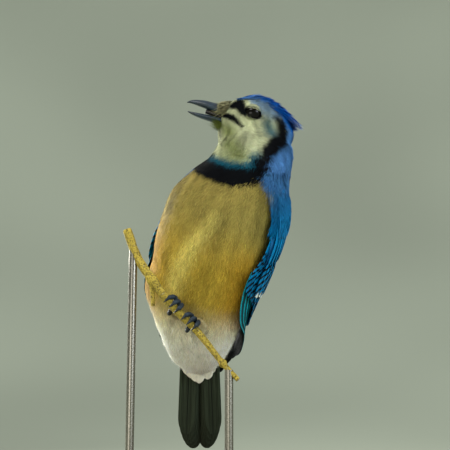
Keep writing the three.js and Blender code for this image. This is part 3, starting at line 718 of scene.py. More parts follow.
def body_tints(points, colours):
    """The plumage colour at points that lie on the outside of the coat, in millimetres."""
    t, degrees = trunk_place(points)
    x, y, z = head_place(points).T
    sides = np.stack([x, np.abs(y), z], 1)
    wide = np.abs((degrees - front_turn(t) + 180) % 360 - 180)
    tint = np.repeat(colours.mantle[None], len(points), 0)

    def paint(share, colour):
        tint[:] = lerp(tint, colour, share[:, None])

    paint(1 - smoothstep(t, 0.16, 0.34), colours.nape)
    breast = (1 - smoothstep(wide - table(CHEST_EDGE, t), -5, 5)) * smoothstep(t, 0.19, 0.22)
    paint(breast, colours.chest)
    paint(breast * smoothstep(t, 0.36, 0.56), colours.belly)
    flank = smoothstep(t, 0.42, 0.55) * smoothstep(wide, 30, 62) * (1 - smoothstep(t, 0.72, 0.86))
    paint(0.85 * breast * flank, colours.flank)
    paint(0.85 * band(points, trunk_path(BELLY_STRIPE), 5.0), colours.stripe)
    paint(breast * smoothstep(t, 0.64, 0.86), colours.vent)

    bridle_edge = table([(low, angle - front_turn(low)) for low, angle, _ in BRIDLE_TRUNK], t)
    front = (1 - smoothstep(wide - bridle_edge, -3, 3)) * (1 - smoothstep(t, 0.235, 0.25))
    front_head = smoothstep(x - table(FACE_EDGE, z), -1.5, 1.5)
    crown_edge = table(CROWN_EDGE, x)
    face = lerp(front, front_head, smoothstep(z, -14, -10)) * (z < crown_edge - 1.5)
    paint(face, colours.throat)
    # Painted shade: the lower throat darker towards the collar
    paint(0.75 * face * smoothstep(t, 0.1, 0.22) * smoothstep(-z, 12, 26), colours.throat_painted_shade)
    # Painted shade in the chin colour down the middle of the throat and under the bill
    paint(0.85 * face * band(points, trunk_path(THROAT_SHADE), 5.0), colours.chin)
    paint(0.7 * band(sides, CHIN_PATCH, 3.5), colours.chin)
    paint(0.85 * band(sides, EAR_PATCH, 3.4), colours.ear)
    crown = smoothstep(z - crown_edge, -0.8, 0.8) * smoothstep(x, -34, -28)
    paint(crown * smoothstep(z, -8, -2), colours.crown)
    paint(crown * smoothstep(x, 5, 11), colours.forehead)
    brow = np.maximum(band(sides, BROW_LINE, 0.8), 0.8 * band(sides, TEMPLE_LINE, 1.2))
    paint(brow, colours.brow)
    paint(band(points, collar_path(4.4), 2.6) * face * smoothstep(t, 0.1, 0.17), colours.fringe)
    rim = np.hypot(x / EYE_RIM[0], (z - EYE_DROP) / EYE_RIM[1])
    black = np.maximum.reduce([
        band(points, collar_path(), 0.9),
        (1 - smoothstep(rim, 0.95, 1.12)) * smoothstep(np.abs(y), 7, 9),
        band(sides, LORE),
        band(sides, EYE_LINE, 0.4),
        band(sides, GAPE_LINE, 0.5),
    ])
    paint(black, colours.collar)
    return tint


# The skin

head_rows = even_curve(HEAD)


def bill_or_head(rows, share, angle, swell, ridge=0.0):
    """A point of a body swept along the bill's direction; ridge narrows its upper half."""
    x, top, bottom, half = rows(np.array(share))
    depth = (top - bottom) / 2 + swell
    up = math.cos(angle)
    side = math.sin(angle) * (half + swell) * (1 - ridge * up)
    return on_head(x, side, (top + bottom) / 2 + up * depth)


def tail_frame():
    tailward = unit(TAIL_TIP - TAIL_ROOT)
    left = unit(np.array([1.0, 0, 0]) - tailward * tailward[0])
    return np.stack([tailward, left, np.cross(left, tailward)])


TAIL_AXES = tail_frame()


def on_tail(along, left, back):
    return TAIL_ROOT + np.stack(np.broadcast_arrays(along, left, back), -1) @ TAIL_AXES


def perch_frame(t):
    """Middle, direction down the twig, front and side of the twig at t, and its radius."""
    rows = even_curve(PERCH)
    row = rows(np.array(t))
    down = unit(rows(np.array(min(t + 0.004, 1.0)))[:3] - rows(np.array(max(t - 0.004, 0.0)))[:3])
    forward = unit(np.array([0.0, 1.0, 0.0]) - down * down[1])
    return row[:3], down, forward, np.cross(down, forward), row[3]


def leg_places(t, side):
    """The toes' reach round the twig, the foot, the hip, and where the leg leaves the coat."""
    middle, _, forward, _, radius = perch_frame(t)
    reach = radius + TOE_RADIUS + 0.42
    foot = middle + forward * (reach + 0.6)
    cut = trunk_at(np.array(0.76))
    hip = cut["middle"] + cut["sideways"] * side * 9
    share = np.linspace(0, 1, 400)[:, None]
    line = lerp(foot, hip, share)
    t_near, degrees = trunk_place(line)
    inside = np.linalg.norm(line - trunk_at(t_near)["middle"], axis=1)
    shell = np.linalg.norm(on_trunk(t_near, degrees) - trunk_at(t_near)["middle"], axis=1)
    knee = line[np.argmax(inside < shell)]
    return reach, foot, hip, knee


def smooth_throat(mesh):
    """Eases the crease where the head meets the neck, harder towards its middle."""
    corners = mesh_arrays(mesh)[0]
    t = trunk_place(corners)[0]
    z = head_place(corners)[:, 2]
    weight = smoothstep(-z, 6, 16) * (1 - smoothstep(t, 0.12, 0.22))
    bm = bmesh.new()
    bm.from_mesh(mesh)
    bm.verts.ensure_lookup_table()
    for least, rounds in ((0.05, 30), (0.5, 60), (0.9, 60)):
        chosen = [bm.verts[i] for i in np.nonzero(weight > least)[0]]
        for _ in range(rounds):
            bmesh.ops.smooth_vert(bm, verts=chosen, factor=0.5, use_axis_x=True, use_axis_y=True,
                                  use_axis_z=True)
    bm.to_mesh(mesh)
    bm.free()


SKIN_VOXEL = 0.0009
# Radii of the feathered part of a leg, at the hip and at its lower end
THIGH_RADIUS = 5.6
ANKLE_RADIUS = 1.6
# How far out from the tail's middle plane the skin may reach, before and from the tail's root
RUMP_ROOF = 40.0
TAIL_ROOF = -5.6


def skin_mesh(sizes, material):
    """The bird's body in one closed surface, inside the solids by the depth of the coat."""
    depth = sizes.coat_depth / MM
    face = sizes.face_depth / MM
    bm = bmesh.new()

    def trunk_ring(angle, share):
        closing = 9.0 * float(1 - smoothstep(share, -0.02, 0.1)) ** 2
        inward = lerp(face * 1.5, depth, min(share * 6, 1)) + closing
        return on_trunk(np.array(0.004 + 0.974 * share), np.degrees(angle), -inward)

    add_tube(bm, trunk_ring, 56, 90)
    add_tube(bm, lambda angle, share: bill_or_head(head_rows, share, angle, -face), 48, 60)
    for _, side, t in FEET:
        _, foot, hip, knee = leg_places(t, side)
        end = lerp(knee, foot, 0.45)
        along = unit(end - hip)
        wide = unit(np.cross(along, UP))
        deep = np.cross(along, wide)

        def place(angle, share):
            out = wide * math.cos(angle) + deep * math.sin(angle)
            radius = lerp(THIGH_RADIUS, ANKLE_RADIUS, float(smoothstep(share, 0.5, 1)))
            return lerp(hip, end, share) + out * radius

        add_tube(bm, place, 20, 14)
    mesh = finish_bmesh(bm, "skin", material)
    piece = add_object("skin_block", mesh)
    remesh = piece.modifiers.new("Joined", "REMESH")
    remesh.mode = "VOXEL"
    remesh.voxel_size = SKIN_VOXEL
    relax = piece.modifiers.new("Relaxed", "SMOOTH")
    relax.factor, relax.iterations = 0.5, 12
    graph = bpy.context.evaluated_depsgraph_get()
    joined = bpy.data.meshes.new_from_object(piece.evaluated_get(graph))
    bpy.data.objects.remove(piece)
    joined.name = "skin"
    smooth_throat(joined)
    along, left, back = ((mesh_arrays(joined)[0] - TAIL_ROOT) @ TAIL_AXES.T).T
    roof = lerp(RUMP_ROOF, TAIL_ROOF, smoothstep(along, 8.0, 15.0))
    corners = on_tail(along, left, np.minimum(back, roof))
    joined.vertices.foreach_set("co", (corners * MM).ravel())
    joined.update()
    return joined


def mesh_arrays(mesh):
    """Corners, their normals and the triangles of a mesh, in millimetres."""
    corners = np.empty(len(mesh.vertices) * 3)
    mesh.vertices.foreach_get("co", corners)
    normals = np.empty(len(mesh.vertices) * 3)
    mesh.vertices.foreach_get("normal", normals)
    mesh.calc_loop_triangles()
    faces = np.empty(len(mesh.loop_triangles) * 3, np.int32)
    mesh.loop_triangles.foreach_get("vertices", faces)
    return corners.reshape(-1, 3) / MM, normals.reshape(-1, 3), faces.reshape(-1, 3)


def coat_depth_at(points, sizes):
    """How far the coat stands off the skin: thin on the face, deeper down the body."""
    z = head_place(points)[:, 2]
    share = smoothstep(-z, 14, 34)
    return lerp(sizes.face_depth / MM, sizes.coat_depth / MM, share)


def build_skin(sizes, colours):
    material = skin_material("Skin under the feathers")
    mesh = skin_mesh(sizes, material)
    corners, normals, _ = mesh_arrays(mesh)
    tint = body_tints(corners + normals * coat_depth_at(corners, sizes)[:, None], colours)
    write_colours(mesh, "Tint", with_alpha(tint))
    mesh.materials.clear()
    mesh.materials.append(material)
    mesh.shade_smooth()
    new_piece("skin", mesh, ("torso", "neck", "head", "thigh_left", "thigh_right"))


# The coat of small feathers

def lie_of_feathers(points):
    """The way the feathers point: back over the head, round the eyes, then tailwards."""
    t, _ = trunk_place(points)
    ends = [trunk_rows(np.clip(t + step, 0, 1))[:, :3] for step in (0.02, -0.02)]
    down = unit(ends[0] - ends[1])
    _, y, z = head_place(points).T
    back = -BILLWARD - 0.25 * CROWNWARD * smoothstep(np.abs(y), 4, 12)[:, None]
    way = lerp(down, back, smoothstep(z, -32, -10)[:, None])
    for side in (1, -1):
        away = points - on_head(0.0, side * EYE_OUT, EYE_DROP)
        reach = np.linalg.norm(away, axis=1, keepdims=True)
        way = way + 0.9 * unit(away) * (1 - smoothstep(reach, 5.5, 10.0))
    share, leg = near_leg(points)
    return unit(lerp(unit(way), leg, 0.5 * share[:, None]))


def near_leg(points):
    """How much points lie on the feathered part of a leg, and which way that leg points."""
    share, way = np.zeros(len(points)), np.zeros((len(points), 3))
    for _, side, t in FEET:
        _, foot, _, knee = leg_places(t, side)
        run = foot - knee
        along = np.clip((points - knee) @ run / (run @ run), -0.2, 1)
        gap = np.linalg.norm(points - knee - along[:, None] * run, axis=1)
        own = 1 - smoothstep(gap, 6.0, 10.0)
        way[own > share] = unit(run)
        share = np.maximum(share, own)
    return share, way


# Lengths of the tufts: on the head by their distance from the corner of the mouth, on the
# trunk by t, and on the legs; then their widths by length
MOUTH_CORNER = np.array([17.0, 0, -9.0])
HEAD_TUFTS = ((4, 1.3), (12, 1.9), (25, 3.6), (40, 5.0), (60, 7.5), (90, 12))
TRUNK_TUFTS = ((0, 5), (0.1, 5.5), (0.25, 6.2), (0.4, 8), (0.55, 9.5), (0.75, 10.5), (1, 9))
LEG_TUFT = 3.0
TUFT_WIDTHS = ((1.3, 0.2), (3, 0.28), (6, 0.4), (11, 0.52))


def tuft_length(points):
    t, _ = trunk_place(points)
    reach = np.linalg.norm(head_place(points) - MOUTH_CORNER, axis=1)
    length = np.minimum(table(HEAD_TUFTS, reach), table(TRUNK_TUFTS, t))
    return lerp(length, LEG_TUFT, near_leg(points)[0])


# Degrees round the trunk between which a folded wing hides it, at t
HIDDEN_FROM = ((0.235, 93), (0.33, 104), (0.44, 102), (0.6, 96), (0.7, 98), (0.8, 115))
HIDDEN_TO = ((0.2, 96), (0.3, 112), (0.42, 126), (0.54, 134), (0.66, 140), (0.78, 142))


def under_wing(points):
    """Whether points lie deep under a folded wing, where no feather shows."""
    t, degrees = trunk_place(points)
    wide = np.abs(degrees)
    return (t > 0.25) & (t < 0.78) & (wide > table(HIDDEN_FROM, t)) & (wide < table(HIDDEN_TO, t))


def before_wing(points):
    """How much points lie just in front of a folded wing, whose bend the coat covers."""
    t, degrees = trunk_place(points)
    wide = np.abs(degrees)
    round_it = smoothstep(wide, 62, 84) * (1 - smoothstep(wide, 108, 132))
    return np.exp(-((t - 0.2) / 0.05) ** 2) * round_it


def sample_roots(corners, normals, faces, count, rng):
    a, b, c = (corners[faces[:, k]] for k in range(3))
    area = np.linalg.norm(np.cross(b - a, c - a), axis=1)
    chosen = rng.choice(len(faces), count, p=area / area.sum())
    u, v = rng.random(count), rng.random(count)
    over = u + v > 1
    u[over], v[over] = 1 - u[over], 1 - v[over]
    weights = np.stack([1 - u - v, u, v], 1)
    spots = np.einsum("nk,nkd->nd", weights, corners[faces[chosen]])
    facing = unit(np.einsum("nk,nkd->nd", weights, normals[faces[chosen]]))
    return spots, facing


BLADES = 5
# A blade's corners: two at its root, two at its middle and its tip. Their places on the flat
# map, and how light they are, after the root: painted shade darkens the root deep in the coat
# and painted light brightens the tip
BLADE_MAP = np.array([[-0.5, 0], [0.5, 0], [-0.5, 0.5], [0.5, 0.5], [0, 1]]) * 0.003
ROOT_PAINTED_SHADE = 0.42
MIDDLE_PAINTED_SHADE = 0.9
TIP_PAINTED_LIGHT = 1.12


def build_tufts(name, material, roots, facing, way, length, width, depth, tint, rng,
                patch=None, ends=None, low=ROOT_PAINTED_SHADE):
    """Thin tapering blades, a few from each root, that rise to the coat's depth and lie down.

    tint is the colour of each tuft, ends that of its tips where it differs, low how light its
    root is under its painted shade, and patch its place on the flat map of the skin.
    """
    count = len(roots)
    patch = unwrap(roots) if patch is None else patch
    length, width, depth = (np.broadcast_to(size, count) for size in (length, width, depth))
    way = unit(way - facing * np.sum(way * facing, 1, keepdims=True))
    side = np.cross(facing, way)
    total = count * BLADES
    pick = np.repeat(np.arange(count), BLADES)
    turn = np.tile(np.linspace(-0.3, 0.3, BLADES), count) + rng.normal(0, 0.1, total)
    way_b = unit(way[pick] * np.cos(turn)[:, None] + side[pick] * np.sin(turn)[:, None])
    side_b = np.cross(facing[pick], way_b)
    own = length[pick] * rng.uniform(0.72, 1.12, total)
    wide = width[pick] * rng.uniform(0.75, 1.25, total)
    rise = depth[pick] * rng.uniform(0.75, 1.1, total)
    base = roots[pick] + side[pick] * rng.normal(0, 0.28, total)[:, None]
    base = base + way[pick] * rng.normal(0, 0.3, total)[:, None] - facing[pick] * 0.25
    roll = rng.normal(0, 0.25, total)
    flat = side_b * np.cos(roll)[:, None] + facing[pick] * np.sin(roll)[:, None]
    rows = []
    for s, share in ((0.0, 0.7), (0.5, 1.0), (1.0, 0.0)):
        lifted = rise * (1 - (1 - s) ** 2.2)
        spot = base + way_b * (own * s)[:, None] + facing[pick] * lifted[:, None]
        reach = flat * (wide * share / 2)[:, None]
        rows += [spot - reach, spot + reach] if share else [spot]
    corners = np.stack(rows, 1).reshape(-1, 3)
    face = np.cross(way_b, flat)
    face = face * np.sign(np.sum(face * facing[pick], 1, keepdims=True))
    normal = unit(0.62 * facing[pick] + 0.38 * face - 0.12 * way_b)
    start = np.arange(total)[:, None] * 5
    quads = start + np.array([[0, 2, 3, 1]])
    tips = start + np.array([[2, 4, 3]])
    vary = rng.uniform(0.74, 1.2, total)[:, None]
    warm = rng.normal(0, 0.035, (total, 3))
    own_tint = np.clip(tint[pick] * vary * (1 + warm), 0, 1)
    # Painted shade darkens each blade towards its root, deep in the coat, and painted light
    # brightens its tip
    painted_light_levels = np.array([low, low, MIDDLE_PAINTED_SHADE, MIDDLE_PAINTED_SHADE, TIP_PAINTED_LIGHT])
    colour = own_tint[:, None, :] * painted_light_levels[None, :, None]
    if ends is not None:
        colour[:, 4] = ends[pick]
        colour[:, 2:4] = lerp(colour[:, 2:4], ends[pick][:, None], 0.25)
    colour = np.concatenate([np.clip(colour, 0, 1), np.ones((total, 5, 1))], 2).reshape(-1, 4)
    maps = (patch[pick][:, None, :] + BLADE_MAP[None]).reshape(-1, 2)
    mesh = arrays_mesh(name, corners, [quads, tips], [material], [("Tint", colour)],
                       [("OFBake", maps)], np.repeat(normal, 5, 0))
    new_piece(name, mesh)


def unwrap(points):
    """A place on a flat map of the skin: along the back, and round it."""
    t, degrees = trunk_place(points)
    x, _, z = head_place(points).T
    along = np.where(z > -14, 0.02 + 0.18 * np.clip((20 - x) / 50, 0, 1), 0.22 + 0.76 * t)
    return np.stack([along, 0.01 + 0.97 * (degrees + 180) / 360], 1)


def streaks(patch, rng):
    """Long light and dark streaks along the lie of the feathers, as a factor near 1."""
    total = np.ones(len(patch))
    for rows, columns, depth in ((24, 150, 0.36), (10, 64, 0.3)):
        grid = rng.uniform(-1, 1, (rows + 2, columns + 2))
        x, y = np.clip(patch[:, 0], 0, 1) * rows, np.clip(patch[:, 1], 0, 1) * columns
        i, j = x.astype(int), y.astype(int)
        u, v = x - i, y - j
        low = lerp(grid[i, j], grid[i, j + 1], v)
        high = lerp(grid[i + 1, j], grid[i + 1, j + 1], v)
        total += depth * lerp(low, high, u)
    return total


PIECE_TUFTS = 13000
# Half the length and half the height of the bare oval round the eye, and how far forward and
# between which heights on the head the bill leaves the skin bare
BARE_OVAL = (5.1, 3.0)
BILL_BASE = 15.5
BILL_SPAN = (-16.5, -1.0)
# How much deeper and longer the tufts are just before a wing
WING_SWELL = 2.0
WING_LONGER = 4.0


def build_coat(sizes, colours):
    """Tufts all over the skin but where the wings, the eyes and the bill leave none."""
    corners, normals, faces = mesh_arrays(bpy.data.objects["skin"].data)
    rng = np.random.default_rng(7)
    spots, facing = sample_roots(corners, normals, faces, sizes.tufts * 3, rng)
    length = tuft_length(spots)
    keep = rng.random(len(spots)) < np.clip((3.2 / length) ** 1.15, 0.14, 1)
    keep &= ~under_wing(spots)
    for side in (1, -1):
        away = head_place(spots) - np.array([0.0, side * EYE_OUT, EYE_DROP])
        bare = np.hypot(away[:, 0] / BARE_OVAL[0], away[:, 2] / BARE_OVAL[1]) < 1
        keep &= ~(bare & (away[:, 1] * side > 0))
    x, _, z = head_place(spots).T
    keep &= ~((x > BILL_BASE) & (z > BILL_SPAN[0]) & (z < BILL_SPAN[1]))
    spots, facing, length = (rows[keep] for rows in (spots, facing, length))
    depth = coat_depth_at(spots, sizes)
    bend = before_wing(spots)
    depth, length = depth + WING_SWELL * bend, length + WING_LONGER * bend
    way = lie_of_feathers(spots)
    outer = spots + facing * depth[:, None] + way * (0.62 * length)[:, None]
    jitter = rng.normal(0, 1, spots.shape) * np.clip(length * 0.11, 0.15, 1.0)[:, None]
    patch = unwrap(spots)
    tint = body_tints(outer + jitter, colours) * streaks(patch, rng)[:, None]
    material = plumage_material("Body feathers")
    order = np.argsort(patch[:, 0])
    pieces = math.ceil(len(order) / PIECE_TUFTS)
    for k, some in enumerate(np.array_split(order, pieces)):
        size = length[some]
        build_tufts("coat_%02d" % (k + 1), material, spots[some], facing[some], way[some],
                    size, table(TUFT_WIDTHS, size), depth[some], tint[some], rng, patch[some])


# Flat feathers

class Vanes:
    """Gathers closed thin feathers, each a bent sheet with two faces and a rim."""

    def __init__(self, across, along):
        self.u = np.linspace(-1, 1, across + 1)
        row = np.linspace(0, 1, along + 1)
        self.v = 1 - (1 - row) ** 1.6
        columns = across + 1
        count = columns * (along + 1)
        grid = np.arange(count).reshape(along + 1, columns)
        border = np.concatenate([grid[0, :-1], grid[:-1, -1], grid[-1, :0:-1], grid[:0:-1, 0]])
        following = np.roll(border, -1)
        first = grid[:-1, :-1].ravel()
        upper = np.stack([first, first + 1, first + columns + 1, first + columns], 1)
        rim = np.stack([following, border, border + count, following + count], 1)
        self.faces = np.vstack([upper, (upper + count)[:, ::-1], rim])
        self.count = count
        self.corners, self.maps, self.marks, self.slots = [], [], [], []

    def add(self, path, width, kind, chance, camber, thick, inner=None, blunt=0.86):
        """Adds a feather whose path(v) gives points of the shaft, the way across and the normal.

        kind is its material, chance what varies its tone, camber how far its edges bend down,
        thick its thickness at both ends, inner the least place across that it may reach, and
        blunt how round its tip is.
        """
        point, across, normal = path(self.v)
        share = smoothstep(self.v, -0.25, 0.4)
        end = np.clip((self.v - 0.82) / 0.18, 0, 1)
        share = share * np.sqrt(1 - blunt * end ** 2)
        reach = self.u[None] * (0.5 * width * share)[:, None]
        if inner is not None:
            reach = np.maximum(reach, inner[:, None])
        droop = camber * (self.u ** 2)[None, :, None]
        tipped = 0.1 * width * blunt * (self.u ** 2)[None] * end[:, None] ** 2
        run = unit(np.gradient(point, axis=0))
        sheet = point[:, None] + across[:, None] * reach[..., None] - normal[:, None] * droop
        sheet = sheet - run[:, None] * tipped[..., None]
        half = lerp(thick[0], thick[1], self.v)[:, None, None] / 2
        faces = [(sheet + sign * normal[:, None] * half).reshape(-1, 3) for sign in (1, -1)]
        across_share, along_share = np.broadcast_arrays((self.u[None] + 1) / 2, self.v[:, None])
        grid = np.stack([across_share, along_share], -1).reshape(-1, 2)
        self.corners.append(np.vstack(faces))
        self.maps.append(np.vstack([grid, grid]))
        self.marks.append(np.repeat([[chance, 0, 0, 1], [chance, 0, 1, 1]], self.count, 0))
        self.slots.append(np.full(len(self.faces), kind))

    def finish(self, name, materials, replaced=()):
        each = 2 * self.count
        faces = np.vstack([self.faces + k * each for k in range(len(self.corners))])
        mesh = arrays_mesh(name, np.vstack(self.corners), [faces], materials,
                           [("Feather", np.vstack(self.marks))], [("Vane", np.vstack(self.maps))],
                           slots=np.concatenate(self.slots))
        bm = bmesh.new()
        bm.from_mesh(mesh)
        bmesh.ops.recalc_face_normals(bm, faces=bm.faces)
        bm.to_mesh(mesh)
        bm.free()
        new_piece(name, mesh, replaced)


# The wings

# For each row of a wing's feathers: how many, then shares along and up the wing of the first
# and last root and the first and last tip, then the width, the lift and the tilt of a feather
WING_ROWS = {
    "primary": (9, (0.34, 0.05), (0.44, 0.5), (0.84, 0.03), (0.99, 0.9), 8.6, 1.5, 0.14),
    "secondary": (9, (0.3, 0.28), (0.34, 0.88), (0.68, 0.28), (0.77, 0.92), 8.8, 3.2, 0.14),
    "edge covert": (5, (0.2, 0.04), (0.22, 0.22), (0.42, 0.03), (0.5, 0.21), 5.2, 2.9, 0.12),
    "greater covert": (10, (0.22, 0.2), (0.24, 0.9), (0.45, 0.18), (0.49, 0.94), 7.2, 4.5, 0.12),
    "median covert": (9, (0.12, 0.13), (0.13, 0.88), (0.28, 0.11), (0.31, 0.92), 6.4, 5.4, 0.11),
    "lesser covert": (8, (0.05, 0.18), (0.06, 0.82), (0.19, 0.13), (0.2, 0.87), 6.0, 6.1, 0.1),
}


def wing_surface(side):
    """A folded wing's outer face as a function of shares along and up it, and a lift."""
    tuck = 0 if side > 0 else WING_TUCK_RIGHT
    end = trunk_at(np.array(1.0))
    away = float((WING_TIP_LEFT - end["middle"]) @ end["sideways"])
    wing_tip = WING_TIP_LEFT + end["sideways"] * (0 if side > 0 else -2 * away)

    def edge(rows, shift):
        points = []
        for t, degrees, off in rows:
            angle = degrees + tuck * (1 - (degrees - 70) / 110)
            points.append(on_trunk(np.array(t), side * angle, off))
        points.append(wing_tip + end["sideways"] * side * shift * WING_TIP_WIDTH / 2)
        return spaced_curve(points)

    lower, reach = edge(WING_LOWER, 1)
    upper, _ = edge(WING_UPPER, -1)

    def flat(p, q):
        return lerp(lower(p), upper(p), q[..., None])

    def at(p, q, off):
        p, q, off = np.broadcast_arrays(np.asarray(p, float), q, off)
        held = np.clip(p, 0.01, 0.99)
        along = unit(flat(held + 0.01, q) - flat(held - 0.01, q))
        across = flat(held, np.ones_like(q)) - flat(held, np.zeros_like(q))
        chord = np.linalg.norm(across, axis=-1)
        across = unit(across)
        outward = unit(np.cross(along, across) * side)
        turn = ((q - 0.5) * chord / WING_CURVE)[..., None]
        normal = unit(outward * np.cos(turn) + across * np.sin(turn))
        rise = ((0.25 - (q - 0.5) ** 2) * chord ** 2 / (2 * WING_CURVE))[..., None]
        thin = lerp(0.45, 1, smoothstep(held, 0, 0.3))[..., None]
        point = flat(held, q) + outward * rise + normal * off[..., None] * thin
        point = point + along * ((p - held) * reach)[..., None]
        return point, along, np.cross(normal, along) * side, normal

    return at


def build_wing(name, side, sizes, materials):
    """The rows of a folded wing's feathers, and the soft bed that fills in under its coverts."""
    surface = wing_surface(side)
    vanes = Vanes(6, 18)
    thick = (sizes.vane / MM, sizes.vane * 0.6 / MM)
    rng = np.random.default_rng(11 if side > 0 else 12)
    for kind, row in enumerate(WING_ROWS.values()):
        count, root_low, root_high, tip_low, tip_high, width, lift, tilt = row
        for k in range(count):
            share = k / (count - 1)
            root = lerp(np.array(root_low), np.array(root_high), share)
            tip = lerp(np.array(tip_low), np.array(tip_high), share) + rng.normal(0, 0.004, 2)

            def path(v):
                p, q = lerp(root[0], tip[0], v), lerp(root[1], tip[1], v)
                off = lift + np.minimum(0, 2.4 * (v - 0.45))
                point, _, across, normal = surface(p, q, off)
                return point, unit(across - normal * tilt), unit(normal + across * tilt)

            vanes.add(path, width, kind, rng.random(), camber=0.3, thick=thick)
    vanes.finish(name + "_feathers", materials[:-1], (name,))

    def bed_path(v):
        point, _, across, normal = surface(lerp(0.02, 0.5, v), 0.5, 1.6)
        return point, across, normal

    bed = Vanes(8, 10)
    bed.add(bed_path, 26, 0, 0.5, camber=3.2, thick=(2.4, 1.2))
    bed.finish(name + "_bed", materials[-1:])


SHOULDER_TUFTS = 4200


def build_shoulder(name, side, colours, material):
    """Small soft feathers that cover the front of a folded wing."""
    surface = wing_surface(side)
    rng = np.random.default_rng(61 if side > 0 else 62)
    count = SHOULDER_TUFTS
    p = -0.03 + 0.18 * rng.random(count) ** 0.8 + rng.normal(0, 0.012, count)
    q = rng.uniform(-0.12, 1.08, count)
    near = smoothstep(p, -0.04, 0.08)
    edge = 1 - 0.7 * smoothstep(np.abs(q - 0.48), 0.34, 0.6)
    lift = lerp(-2.5, 6.0 * edge + 0.3, near) + rng.normal(0, 1.2, count) * (1 - near)
    roots, along, _, facing = surface(p, q, lift)
    tint = body_tints(roots + along * 4.5 + facing, colours)
    tint = lerp(tint, colours.mantle, smoothstep(p, -0.02, 0.07)[:, None])
    tint = lerp(tint, colours.wing * 1.25, (smoothstep(p, 0.03, 0.17) * 0.75)[:, None])
    build_tufts(name, material, roots, facing, along, table(((-0.03, 7.0), (0.15, 5.0)), p),
                0.5, 1.0, tint, rng, low=0.85)


def wing_materials(colours):
    """One for each of the wing's rows, and the last for the bed under the coverts."""
    blue, dark, pale = colours.wing, colours.inner_web, colours.feather_tip
    line = srgb(8, 12, 18)
    teal = lerp(blue, srgb(16, 128, 128), 0.75)
    return [
        vane_material("Primary feather", lerp(dark, teal, 0.15), dark, under=dark * 0.45,
                      edge=teal * 1.5),
        vane_material("Secondary feather", blue, dark * 1.2, line, 11.0, pale, 0.93,
                      edge=blue * 1.5),
        vane_material("Edge covert", blue * 0.9, dark, line, 8.0),
        vane_material("Greater covert", blue * 1.15, blue * 0.7, line, 7.0, pale, 0.86),
        vane_material("Median covert", blue * 1.05, blue * 0.8),
        vane_material("Lesser covert", lerp(blue, colours.mantle, 0.5), blue * 0.7),
        vane_material("Feathers under the coverts", colours.mantle, colours.mantle * 0.8,
                      soft=True),
    ]


# The tail and its coverts

TAIL_THICK = (0.3, 0.2)
# Coverts over and under the tail's root: how far down the tail and how far behind it a row
# starts and ends, how many, how far apart and how wide they are, their side and their kind
TAIL_COVERTS = [
    (3, 0.6, 34, 1.2, 7, 3.4, 6.4, 1, 1),
    (0, 1.9, 27, 1.9, 9, 3.2, 6.2, 1, 1),
    (-4, 2.6, 19, 2.7, 9, 3.2, 6.0, 1, 1),
    (24, -8.6, 55, -6.3, 7, 2.9, 6.6, -1, 2),
    (20, -10.2, 50, -7.2, 8, 3.1, 6.8, -1, 2),
    (15, -11.6, 45, -8.4, 8, 3.4, 6.8, -1, 2),
    (10, -12.8, 40, -9.6, 8, 3.4, 6.6, -1, 2),
]


def tail_ways(v, side, facing):
    """The ways across and out of a tail feather, one for each row of its corners."""
    return [np.tile(way, (len(v), 1)) for way in (TAIL_AXES[1] * side, TAIL_AXES[2] * facing)]


def build_tail(colours):
    blue, pale = colours.wing, colours.feather_tip
    materials = [
        vane_material("Tail feather", blue * 0.8, blue, srgb(6, 8, 10), 16.0, pale * 0.8, 0.955,
                      under=colours.tail_underside),
        vane_material("Rump covert", colours.mantle * 1.1, colours.mantle, soft=True),
        vane_material("Vent covert", colours.vent, colours.vent * 0.92, soft=True),
    ]
    vanes = Vanes(8, 30)
    rng = np.random.default_rng(21)
    length = float(np.linalg.norm(TAIL_TIP - TAIL_ROOT))
    for side in (1, -1):
        for k in range(TAIL_PAIRS):
            angle = math.radians(TAIL_FAN * (k + 0.5))
            along = lerp(TAIL_START + 0.6, length - TAIL_SHORTER[k], vanes.v)
            offset = TAIL_FEATHER * 0.3 + 0.25 * k + math.sin(angle) * along
            back = -TAIL_STEP * k - 0.003 * offset ** 2 - (0 if side > 0 else 0.3)

            def path(v):
                return on_tail(along, side * offset, back), *tail_ways(v, side, 1)

            vanes.add(path, TAIL_FEATHER, 0, rng.random(), camber=0.15, thick=TAIL_THICK,
                      inner=-1.6 - offset, blunt=0.9)
    for start, start_back, end, end_back, count, apart, width, facing, kind in TAIL_COVERTS:
        for k in range(count):
            left = (k - (count - 1) / 2) * apart + rng.normal(0, 0.3)
            reach = end - 0.75 * abs(left) + rng.normal(0, 0.8)

            def path(v):
                along = lerp(start, reach, v)
                back = lerp(start_back, end_back, v) - facing * 0.06 * abs(left) * v
                return on_tail(along, left * lerp(1.0, 0.86, v), back), *tail_ways(v, 1, facing)

            vanes.add(path, width, kind, rng.random(), camber=0.5, thick=TAIL_THICK, blunt=0.8)
    vanes.finish("tail_feathers", materials, ("tail",))


# The head's parts

# Half the length and half the height of the opening between the lids, over and under the
# eye's middle, and of the lids' outer rim; the least height of the lids; and their feathers
LID_OPENING = np.array([4.75, 2.85])
LOWER_LID_OPENING = np.array([4.75, 2.75])
LID_RIM = np.array([5.6, 4.9])
LID_LEAST = 1.2
LID_TUFTS = 700


def lid_tints(mesh, side, colours):
    """Slate lids, whose outer rim takes the colours of the feathers round the eye, darkened as
    painted shade under those feathers.
    """
    corners = mesh_arrays(mesh)[0]
    x, _, z = (head_place(corners) - np.array([0, side * EYE_OUT, EYE_DROP])).T
    around = smoothstep(np.hypot(x / EYE_RIM[0], z / (EYE_RIM[1] + 0.3)), 0.95, 1.05)
    # Painted shade: the rim's feather colours at six tenths, as under the overhanging feathers
    tint = lerp(np.array(srgb(12, 15, 19)), 0.6 * body_tints(corners, colours), around[:, None])
    write_colours(mesh, "Tint", with_alpha(tint))


